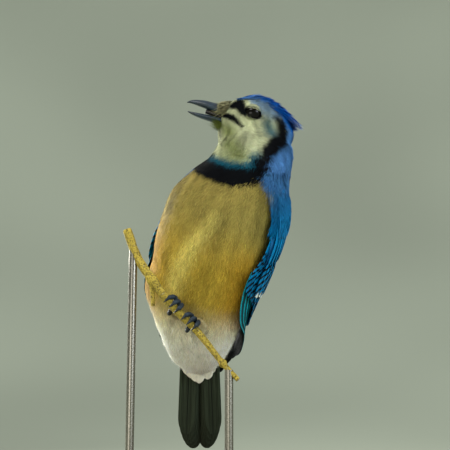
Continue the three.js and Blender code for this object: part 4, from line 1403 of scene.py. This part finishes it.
def build_eye(name, side, colours):
    """The eyeball, and a ring of bare lid round its front."""
    bm = bmesh.new()
    centre = on_head(0.0, side * EYE_OUT, EYE_DROP)
    bmesh.ops.create_icosphere(bm, subdivisions=5, radius=EYE_RADIUS * MM,
                               matrix=Matrix.Translation(Vector(centre * MM)))
    bmesh_piece(bm, name + "_ball", eye_material("Eye", colours.iris), (name,))

    def place(angle, share):
        turn = 2 * math.pi * share
        way = np.array([math.cos(turn), math.sin(turn)])
        across = 0.5 + 0.5 * math.cos(angle)
        spot = lerp(way * (LID_OPENING if way[1] > 0 else LOWER_LID_OPENING), way * LID_RIM, across)
        sphere = EYE_RADIUS + 0.08 + 0.42 * math.sin(math.pi * min(across * 1.4, 1.0)) ** 0.7
        sphere += 0.22 * math.sin(angle)
        height = math.sqrt(max(sphere ** 2 - spot @ spot, LID_LEAST ** 2))
        return on_head(spot[0], side * (EYE_OUT + height), EYE_DROP + spot[1])

    bm = bmesh.new()
    add_tube(bm, place, 14, 64)
    bmesh.ops.remove_doubles(bm, verts=bm.verts, dist=2e-6)
    mesh = finish_bmesh(bm, name + "_lids", skin_material("Eyelid"))
    lid_tints(mesh, side, colours)
    new_piece(name + "_lids", mesh)


def lid_feathers(name, side, colours):
    """The shortest feathers of all, over the rim of the lids, pointing away from the eye."""
    rng = np.random.default_rng(71 if side > 0 else 72)
    turn = rng.uniform(0, 2 * math.pi, LID_TUFTS)
    out = rng.random(LID_TUFTS)
    x, z = lerp(5.3, 5.7, out) * np.cos(turn), lerp(3.2, 5.0, out) * np.sin(turn)
    height = np.sqrt(np.maximum((EYE_RADIUS + 0.35) ** 2 - x ** 2 - z ** 2, LID_LEAST ** 2))
    roots = on_head(x, side * (EYE_OUT + height), EYE_DROP + z)
    facing = unit(roots - on_head(0.0, side * EYE_OUT, EYE_DROP))
    way = lie_of_feathers(roots)
    tints = body_tints(roots + facing * 0.3 + way * 0.9, colours)
    build_tufts(name, plumage_material("Eyelid feathers"), roots, facing, way,
                1.5, 0.2, 0.35, tints, rng, low=0.7)


def build_bill(name, rows, ridge, colours):
    curve = even_curve(rows)
    bm = bmesh.new()
    add_tube(bm, lambda angle, share: bill_or_head(curve, share, angle, 0.0, ridge), 40, 48)
    horn = horn_material("Bill " + name, colours.bill, colours.bill * 2.2, 0.4, 0.16)
    bmesh_piece(bm, name + "_horn", horn, (name,))


MOUTH = [
    (9, -8.4, -10.6, 6.4),
    (15, -8.6, -10.6, 4.8),
    (21, -8.8, -11.0, 3.9),
    (27, -8.8, -11.6, 3.0),
]


def build_mouth():
    """The inside of the mouth between the two halves of the bill, nearly black as painted shade."""
    rows = even_curve(MOUTH)
    bm = bmesh.new()
    add_tube(bm, lambda angle, share: bill_or_head(rows, share, angle, 0.0), 24, 16)
    lining = horn_material("Mouth lining", srgb(14, 12, 14), srgb(30, 24, 26), 0.5, 0.1)
    bmesh_piece(bm, "mouth_lining", lining)


TUFT_ROWS = [
    # first and last root, then first and last tip, in the head's frame, and how many
    ((15.6, 6.1, -1.8), (15.8, 6.3, -7.0), (25.6, 4.0, -4.2), (24.2, 4.4, -7.6), 80),
    ((15.4, 1.2, 0.8), (15.6, 5.2, -1.2), (23.0, 0.9, -2.9), (25.2, 3.4, -4.0), 60),
    ((11, 6.6, -15.0), (10, 1.0, -18.4), (20.5, 3.6, -14.6), (21.5, 0.6, -16.6), 40),
]


def build_bristles(colours):
    """Fine bristly feathers that lie forward over the nostrils and the chin."""
    rng = np.random.default_rng(31)
    roots, ways, lengths, tints = [], [], [], []
    for side in (1, -1):
        for *ends, count in TUFT_ROWS:
            low, high, tip_low, tip_high = np.array(ends, float)
            for _ in range(count * 3):
                share = rng.random()
                root = lerp(low, high, share) + rng.normal(0, 0.7, 3)
                tip = lerp(tip_low, tip_high, share) + rng.normal(0, 0.5, 3)
                root[1] *= side
                tip[1] *= side
                begin = root if rng.random() < 0.55 else lerp(root, tip, rng.uniform(0.1, 0.5))
                start, end = on_head(*begin), on_head(*tip)
                roots.append(start)
                ways.append(unit(end - start))
                lengths.append(np.linalg.norm(end - start) * rng.uniform(0.6, 1.3))
                # The lowest bristles take the chin colour, painted shade under the bill
                tone = colours.chin if root[2] < -12 else colours.bristle
                tints.append(tone * rng.uniform(0.5, 1.3))
    roots, ways, lengths, tints = (np.array(rows) for rows in (roots, ways, lengths, tints))
    facing = unit(roots - on_head(8.0, 0.0, -7.0))
    build_tufts("bristles", plumage_material("Bristles"), roots, facing, ways,
                lengths, 0.17, 0.35, tints, rng)


CREST_ROWS = [
    # x and z of the roots, x and z of the tips, the half width of the row, how pale its tips
    (10, 4.4, -1.0, 11.3, 4.6, 0.0),
    (5, 7.2, -7.0, 11.5, 6.2, 0.0),
    (0, 9.0, -12.5, 10.7, 7.2, 0.0),
    (-5, 9.7, -17.5, 8.9, 7.6, 0.0),
    (-9, 9.2, -22.0, 6.9, 7.0, 0.0),
    (-12, 8.2, -25.5, 5.0, 6.0, 0.15),
    (-15, 6.8, -28.6, 3.3, 4.6, 0.5),
    (-18, 5.2, -30.0, 1.7, 3.2, 0.9),
    (-19, 3.4, -27.5, -0.2, 2.6, 0.3),
]
CREST_TUFTS = 140


def build_crest(colours):
    """The long flattened feathers of the crown, with pale tips at the back."""
    rng = np.random.default_rng(41)
    roots, ends, facing, tints, tips = [], [], [], [], []
    for x0, z0, x1, z1, half, paleness in CREST_ROWS:
        y = rng.uniform(-half, half, CREST_TUFTS)
        drop = 0.05 * y * y
        shift = rng.uniform(-2.5, 2.5, CREST_TUFTS)
        start = on_head(x0 + shift, y, z0 - drop + rng.normal(0, 0.25, CREST_TUFTS))
        end = on_head(x1 + shift * 0.5 + rng.normal(0, 0.9, CREST_TUFTS), y * 0.8, z1 - drop * 0.9)
        roots.append(start)
        ends.append(end)
        facing.append(unit((start + end) / 2 - on_head(min(x0, 4.0), y * 0.3, -6.0)))
        tone = body_tints(lerp(start, end, 0.6), colours) * rng.uniform(0.8, 1.2, (CREST_TUFTS, 1))
        tints.append(tone)
        pale = paleness * (rng.random((CREST_TUFTS, 1)) < 0.45)
        tips.append(lerp(tone, colours.feather_tip, pale))
    roots, ends, facing, tints, tips = (
        np.vstack(rows) for rows in (roots, ends, facing, tints, tips))
    reach = np.linalg.norm(ends - roots, axis=1) * 1.04
    way = unit(ends - roots)
    facing = unit(facing - way * np.sum(facing * way, 1, keepdims=True))
    build_tufts("crest", plumage_material("Crest feathers"), roots, facing, way,
                reach, 0.5, 0.6, tints, rng, ends=tips)


# The feet and the twig

def grip(t, arc, offsets, share, reach):
    """A point of a toe's middle line, which curls round the twig at t."""
    middle, down, forward, over, _ = perch_frame(t)
    angle = math.radians(lerp(arc[0], arc[1], share))
    shift = lerp(offsets[0], offsets[1], float(smoothstep(share, 0, 1)))
    out = forward * math.cos(angle) * reach + over * math.sin(angle) * reach
    return middle + out + down * shift


ROD_SIDE = np.array([0.31, 0.12, 0.94])


def add_rod(bm, path, radius, sides, rings):
    """Adds a round rod along path(share), as thick as radius(share) says."""
    def place(angle, share):
        along = unit(path(min(share + 0.01, 1.0)) - path(max(share - 0.01, 0.0)))
        wide = unit(np.cross(along, ROD_SIDE))
        deep = np.cross(along, wide)
        return path(share) + (wide * math.cos(angle) + deep * math.sin(angle)) * radius(share)

    add_tube(bm, place, sides, rings)


def scutes(share, count):
    """Shallow grooves between the plates of a toe or a shank, as a factor near 1."""
    return 1 - 0.07 * abs(math.cos(math.pi * count * share)) ** 6


# Each toe's arc round the twig, and how far along the twig it starts and ends
TOES = [
    (FRONT_ARC, (-1.2, -TOE_SPREAD)),
    (FRONT_ARC, (0, 0)),
    (FRONT_ARC, (1.2, TOE_SPREAD)),
    (HIND_ARC, (0, 1.5)),
]


def toe_radius(share):
    pads = 0.09 * math.sin(2 * math.pi * share * 2.5) ** 2
    close = math.sqrt(max(1 - max(share - 0.93, 0) ** 2 / 0.07 ** 2, 0.2))
    return TOE_RADIUS * (1.06 - 0.14 * share + pads) * scutes(share, 14) * close


def claw_radius(share):
    return CLAW_RADIUS * 1.08 * (1 - 0.9 * share ** 1.3)


def shank_radius(share):
    return SHANK_RADIUS * (0.95 + 0.12 * (2 * share - 1) ** 2) * scutes(share, 9)


def build_foot(name, side, t, colours):
    reach, foot, _, knee = leg_places(t, side)
    bm = bmesh.new()
    claws = bmesh.new()
    for arc, offsets in TOES:
        add_rod(bm, lambda s: grip(t, arc, offsets, s, reach), toe_radius, 20, 84)
        way = math.copysign(1, arc[1] - arc[0])
        start = arc[1] - way * 4.0

        def claw_path(s):
            return grip(t, (start, start + way * (CLAW_ARC + 4)), (offsets[1], offsets[1]), s,
                        reach - 0.45 * min(1, 2 * s) + 0.1 + 1.2 * s * s)

        add_rod(claws, claw_path, claw_radius, 16, 30)
    end = lerp(knee, foot, 0.3)
    add_rod(bm, lambda s: lerp(foot, end, s), shank_radius, 24, 60)
    bmesh.ops.create_icosphere(bm, subdivisions=4, radius=SHANK_RADIUS * 1.32 * MM,
                               matrix=Matrix.Translation(Vector(foot * MM)))
    skin = scale_material("Scaly skin of " + name, colours.leg, colours.leg * 2.6)
    horn = horn_material("Claws of " + name, colours.leg * 0.7, colours.leg * 1.6, 0.42, 0.1)
    bmesh_piece(bm, name + "_toes", skin, (name,))
    replaced = [name.replace("foot", "claw") + "_%d" % k for k in (1, 2, 3, 4)]
    bmesh_piece(claws, name.replace("foot", "claws"), horn, replaced)


def build_twig(colours):
    """The twig with its knots and its stub, and cut wood on their ends."""
    rng = np.random.default_rng(51)
    waves = rng.uniform(0, 6.28, (6, 2))[:, 0]

    def rough(angle, share):
        return sum(math.sin(angle * (2 + k) + share * (9 + 17 * k) + wave)
                   for k, wave in enumerate(waves))

    def place(angle, share):
        middle, _, forward, over, radius = perch_frame(share)
        size = radius * (1 + 0.018 * rough(angle, share))
        for t, knot in KNOTS:
            size += (knot - radius) * math.exp(-((share - t) / KNOT_LENGTH) ** 2)
        return middle + (over * math.cos(angle) + forward * math.sin(angle)) * size

    bm = bmesh.new()
    add_tube(bm, place, 36, 260)
    start, end = (np.array(p, float) for p in STUB)
    add_rod(bm, lambda s: lerp(start, end, s) + np.array([0.35, 0, 0]) * math.sin(3.1 * s),
            lambda s: STUB_RADIUS * (1 - 0.25 * s) * (1 + 0.05 * math.sin(11 * s)), 20, 30)
    bark = bark_material("Bark", colours.bark, colours.bark * 1.5)
    mesh = finish_bmesh(bm, "twig", bark)
    mesh.materials.append(cut_wood_material("Cut wood", srgb(186, 160, 112), srgb(130, 102, 62)))
    for face in mesh.polygons:
        if len(face.vertices) > 4:
            face.material_index = 1
    new_piece("twig", mesh, ("perch",))


def dress_stand(colours):
    board = board_material("Dark wood", colours.board, colours.board * 2.2)
    rod = rod_material("Brushed metal", colours.rod)
    for node, material in (("base", board), ("rod_tall", rod), ("rod_short", rod)):
        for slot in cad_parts["stand_" + node].material_slots:
            slot.material = material


# The stage

# The photo's view: the camera's place, how far it looks up from straight down and
# how wide it sees, in degrees
CAMERA_PLACE = (0.008, -0.6089, 0.02125)
CAMERA_PITCH = 102
CAMERA_ANGLE = 25.36
# Each light's name, place, target, width in metres, power in watts and colour
MIDDLE = (0.0, -0.01, 0.13)
EYE_PLACE = (0.026, -0.036, 0.211)
VENT_PLACE = (-0.01, -0.04, 0.09)
LIGHTS = [
    ("Key light", (-0.55, -1.2, 1.4), MIDDLE, 0.8, 25.0, (1.0, 0.97, 0.92)),
    ("Fill light", (1.4, -1.1, 0.4), MIDDLE, 1.2, 12.0, (0.92, 0.96, 1.0)),
    ("Catch light", (1.25, -0.85, 0.55), EYE_PLACE, 0.3, 6.5, (0.8, 0.9, 1.0)),
    ("Low light", (-0.25, -0.5, 0.05), VENT_PLACE, 0.3, 1.0, (1.0, 0.97, 0.9)),
    ("Rim light", (-0.53, 0.43, 0.42), MIDDLE, 0.24, 16.0, (1.0, 0.98, 0.92)),
]
SKY_TONE = (0.93, 0.96, 1.0, 1.0)
SKY_STRENGTH = 0.9
# The backdrop is a round floor that sweeps up to a wall, a little below the base
FLOOR_RADIUS = 0.9
SWEEP_RADIUS = 2.6
SWEEP_STEPS = 24
WALL_TOP = 5.0
FLOOR_DROP = 0.0002


def add_camera():
    camera = bpy.data.cameras.new("Camera")
    camera.sensor_fit = "HORIZONTAL"
    camera.angle = math.radians(CAMERA_ANGLE)
    camera.clip_start, camera.clip_end = 0.01, 50.0
    holder = add_object("Camera", camera)
    holder.location = CAMERA_PLACE
    holder.rotation_euler = (math.radians(CAMERA_PITCH), 0.0, 0.0)
    bpy.context.scene.camera = holder


def add_light(name, spot, target, size, power, tone):
    data = bpy.data.lights.new(name, "AREA")
    data.shape = "SQUARE"
    data.size, data.energy, data.color = size, power, tone
    lamp = add_object(name, data)
    lamp.visible_camera = False
    lamp.location = Vector(spot)
    lamp.rotation_euler = (Vector(target) - Vector(spot)).to_track_quat("-Z", "Y").to_euler()


def add_backdrop(tone):
    bm = bmesh.new()
    places = [(0.0, 0.0), (FLOOR_RADIUS, 0.0)]
    for k in range(1, SWEEP_STEPS + 1):
        turn = math.pi / 2 * k / SWEEP_STEPS
        out, up = SWEEP_RADIUS * math.sin(turn), SWEEP_RADIUS * (1 - math.cos(turn))
        places.append((FLOOR_RADIUS + out, up))
    places.append((FLOOR_RADIUS + SWEEP_RADIUS, WALL_TOP))
    profile = [bm.verts.new((x, 0.0, z - FLOOR_DROP)) for x, z in places]
    edges = [bm.edges.new(pair) for pair in zip(profile[:-1], profile[1:])]
    bmesh.ops.spin(bm, geom=profile + edges, cent=(0, 0, 0), axis=(0, 0, 1), angle=2 * math.pi,
                   steps=96, use_merge=True, use_duplicate=False)
    bmesh.ops.remove_doubles(bm, verts=bm.verts, dist=1e-5)
    mesh = finish_bmesh(bm, "backdrop", stage_material("Backdrop paper", tone))
    mesh.flip_normals()
    add_object("backdrop", mesh)


def build_stage(colours):
    add_camera()
    add_backdrop(colours.backdrop)
    for row in LIGHTS:
        add_light(*row)
    world = bpy.data.worlds.new("Studio")
    world.use_nodes = True
    sky = world.node_tree.nodes["Background"]
    sky.inputs["Color"].default_value = SKY_TONE
    sky.inputs["Strength"].default_value = SKY_STRENGTH
    bpy.context.scene.world = world
    bpy.context.scene.view_settings.view_transform = "Standard"


# Sizes and colours that a user may change

def colour(name, description, red, green, blue):
    """A colour that a user may change, given on the usual 0 to 255 scale."""
    return bpy.props.FloatVectorProperty(name=name, description=description, size=3, min=0.0,
                                         max=1.0, subtype="COLOR",
                                         default=tuple(srgb(red, green, blue)))


def distance(name, description, metres):
    """A length in metres that a user may change."""
    return bpy.props.FloatProperty(name=name, description=description, default=metres, min=0.00005,
                                   max=0.01, subtype="DISTANCE", unit="LENGTH", precision=5)


class JaySizes(bpy.types.PropertyGroup):
    """Sizes of the coat and the flat feathers."""

    coat_depth: distance("Coat depth", "How far the body feathers stand off the skin", 0.0025)
    face_depth: distance("Face coat depth", "How far the face's feathers stand off the skin",
                         0.0011)
    vane: distance("Feather thickness", "Thickness of a flight feather at its root", 0.00026)
    tufts: bpy.props.IntProperty(name="Tufts", default=62000, min=1000, max=90000,
                                 description="A third of the places that are tried for tufts")


class JayColours(bpy.types.PropertyGroup):
    """Colours of the bird, the twig, the stand and the backdrop."""

    crown: colour("Crown", "Bright blue of the crown and crest", 2, 90, 182)
    forehead: colour("Forehead", "Pale grey-blue feathers above the bill", 138, 150, 140)
    brow: colour("Brow", "Grey-blue stripe over the eye", 106, 130, 152)
    bristle: colour("Bristles", "Buff-grey bristles over the nostrils", 152, 148, 112)
    # The chin colour is painted shade: the olive of the feathers under the bill and down the throat
    chin: colour("Chin", "Olive shade of the chin and the middle of the throat", 104, 114, 54)
    throat: colour("Throat", "Cream-white feathers of the cheek and throat", 176, 180, 145)
    throat_painted_shade: colour("Lower throat", "Shaded feathers above the collar", 132, 144, 100)
    ear: colour("Ear patch", "Teal-grey feathers over the ear", 24, 84, 102)
    nape: colour("Nape", "Violet-grey feathers behind the collar", 70, 116, 170)
    collar: colour("Collar", "Black feathers of the necklace and the lore", 3, 5, 9)
    fringe: colour("Collar fringe", "Teal edge along the top of the collar", 8, 76, 96)
    mantle: colour("Mantle", "Grey-blue feathers of the back", 30, 98, 152)
    chest: colour("Chest", "Grey-buff feathers under the collar", 146, 131, 68)
    flank: colour("Flank", "Ochre feathers of the flanks", 174, 132, 36)
    belly: colour("Belly", "Warm buff feathers of the belly", 172, 145, 54)
    stripe: colour("Belly stripe", "Pale stripe down the middle of the belly", 206, 190, 104)
    vent: colour("Vent", "Pale cream feathers under the tail", 255, 252, 236)
    wing: colour("Wing", "Saturated blue of the wing and tail feathers", 0, 116, 172)
    inner_web: colour("Inner web", "Dark inner half of a flight feather", 14, 20, 26)
    feather_tip: colour("Feather tips", "Pale tips of the coverts and tail feathers", 232, 236, 230)
    tail_underside: colour("Tail underside", "Dark grey of the tail seen from below", 50, 58, 46)
    iris: colour("Eye", "Black-brown of the eye", 9, 6, 5)
    bill: colour("Bill", "Slate-black horn of the bill", 8, 26, 38)
    leg: colour("Legs", "Slate-black skin of the feet", 24, 32, 40)
    bark: colour("Bark", "Olive-brown bark of the twig", 158, 138, 56)
    board: colour("Base wood", "Dark wood of the base", 58, 42, 32)
    rod: colour("Rod metal", "Metal of the rods", 128, 124, 116)
    backdrop: colour("Backdrop", "Grey-green paper behind and under the model", 128, 134, 121)


class JayOperator:
    """What the operators share: the settings, and the redo entry in the editor."""

    bl_options = {"REGISTER", "UNDO"}

    def settings(self, context):
        """The sizes as they are, and the colours as arrays."""
        group = context.scene.jay_colours
        colours = {key: np.array(getattr(group, key)) for key in JayColours.__annotations__}
        return context.scene.jay_sizes, SimpleNamespace(**colours)


class JAY_OT_stage(JayOperator, bpy.types.Operator):
    """Sets up the camera, the lights and the grey-green backdrop"""

    bl_idname = "jay.build_stage"
    bl_label = "Stage"

    def execute(self, context):
        build_stage(self.settings(context)[1])
        return {"FINISHED"}


class JAY_OT_skin(JayOperator, bpy.types.Operator):
    """Models the skin of the head, the neck, the body and the thighs"""

    bl_idname = "jay.build_skin"
    bl_label = "Skin"

    def execute(self, context):
        build_skin(*self.settings(context))
        return {"FINISHED"}


class JAY_OT_coat(JayOperator, bpy.types.Operator):
    """Covers the skin with tufts of small feathers"""

    bl_idname = "jay.build_coat"
    bl_label = "Coat"

    def execute(self, context):
        build_coat(*self.settings(context))
        return {"FINISHED"}


class JAY_OT_head(JayOperator, bpy.types.Operator):
    """Models the eyes, the lids, the bill, the bristles and the crest"""

    bl_idname = "jay.build_head"
    bl_label = "Head parts"

    def execute(self, context):
        _, colours = self.settings(context)
        build_eye("eye_left", 1, colours)
        build_eye("eye_right", -1, colours)
        lid_feathers("eyelid_feathers_left", 1, colours)
        lid_feathers("eyelid_feathers_right", -1, colours)
        build_bill("bill_upper", UPPER_BILL, 0.22, colours)
        build_bill("bill_lower", LOWER_BILL, -0.15, colours)
        build_mouth()
        build_bristles(colours)
        build_crest(colours)
        return {"FINISHED"}


class JAY_OT_wings(JayOperator, bpy.types.Operator):
    """Models the flight feathers and coverts of both folded wings"""

    bl_idname = "jay.build_wings"
    bl_label = "Wings"

    def execute(self, context):
        sizes, colours = self.settings(context)
        materials = wing_materials(colours)
        build_wing("wing_left", 1, sizes, materials)
        build_wing("wing_right", -1, sizes, materials)
        soft = plumage_material("Shoulder feathers")
        build_shoulder("shoulder_left", 1, colours, soft)
        build_shoulder("shoulder_right", -1, colours, soft)
        return {"FINISHED"}


class JAY_OT_tail(JayOperator, bpy.types.Operator):
    """Models the tail and the feathers over and under its root"""

    bl_idname = "jay.build_tail"
    bl_label = "Tail"

    def execute(self, context):
        build_tail(self.settings(context)[1])
        return {"FINISHED"}


class JAY_OT_feet(JayOperator, bpy.types.Operator):
    """Models the scaly toes, the shanks and the claws"""

    bl_idname = "jay.build_feet"
    bl_label = "Feet"

    def execute(self, context):
        _, colours = self.settings(context)
        for name, side, t in FEET:
            build_foot("foot_" + name, side, t, colours)
        return {"FINISHED"}


class JAY_OT_twig(JayOperator, bpy.types.Operator):
    """Models the cut twig and finishes the wood and metal of the stand"""

    bl_idname = "jay.build_twig"
    bl_label = "Twig and stand"

    def execute(self, context):
        _, colours = self.settings(context)
        build_twig(colours)
        dress_stand(colours)
        return {"FINISHED"}


STEPS = (JAY_OT_stage, JAY_OT_skin, JAY_OT_coat, JAY_OT_head, JAY_OT_wings, JAY_OT_tail,
         JAY_OT_feet, JAY_OT_twig)


class JAY_PT_panel(bpy.types.Panel):
    """Lists the settings and the steps that build the jay"""

    bl_idname = "JAY_PT_panel"
    bl_label = "Blue jay"
    bl_space_type = "VIEW_3D"
    bl_region_type = "UI"
    bl_category = "Jay"

    def draw(self, context):
        for group in (context.scene.jay_sizes, context.scene.jay_colours):
            box = self.layout.box()
            for key in group.__annotations__:
                box.prop(group, key)
        for step in STEPS:
            self.layout.operator(step.bl_idname)


CLASSES = (JaySizes, JayColours, *STEPS, JAY_PT_panel)


def register():
    for item in CLASSES:
        bpy.utils.register_class(item)
    bpy.types.Scene.jay_sizes = bpy.props.PointerProperty(type=JaySizes)
    bpy.types.Scene.jay_colours = bpy.props.PointerProperty(type=JayColours)


def unregister():
    del bpy.types.Scene.jay_colours
    del bpy.types.Scene.jay_sizes
    for item in reversed(CLASSES):
        bpy.utils.unregister_class(item)


def main():
    register()
    bpy.ops.jay.build_stage()
    bpy.ops.jay.build_skin()
    bpy.ops.jay.build_coat()
    bpy.ops.jay.build_head()
    bpy.ops.jay.build_wings()
    bpy.ops.jay.build_tail()
    bpy.ops.jay.build_feet()
    bpy.ops.jay.build_twig()


if __name__ == "__main__":
    main()
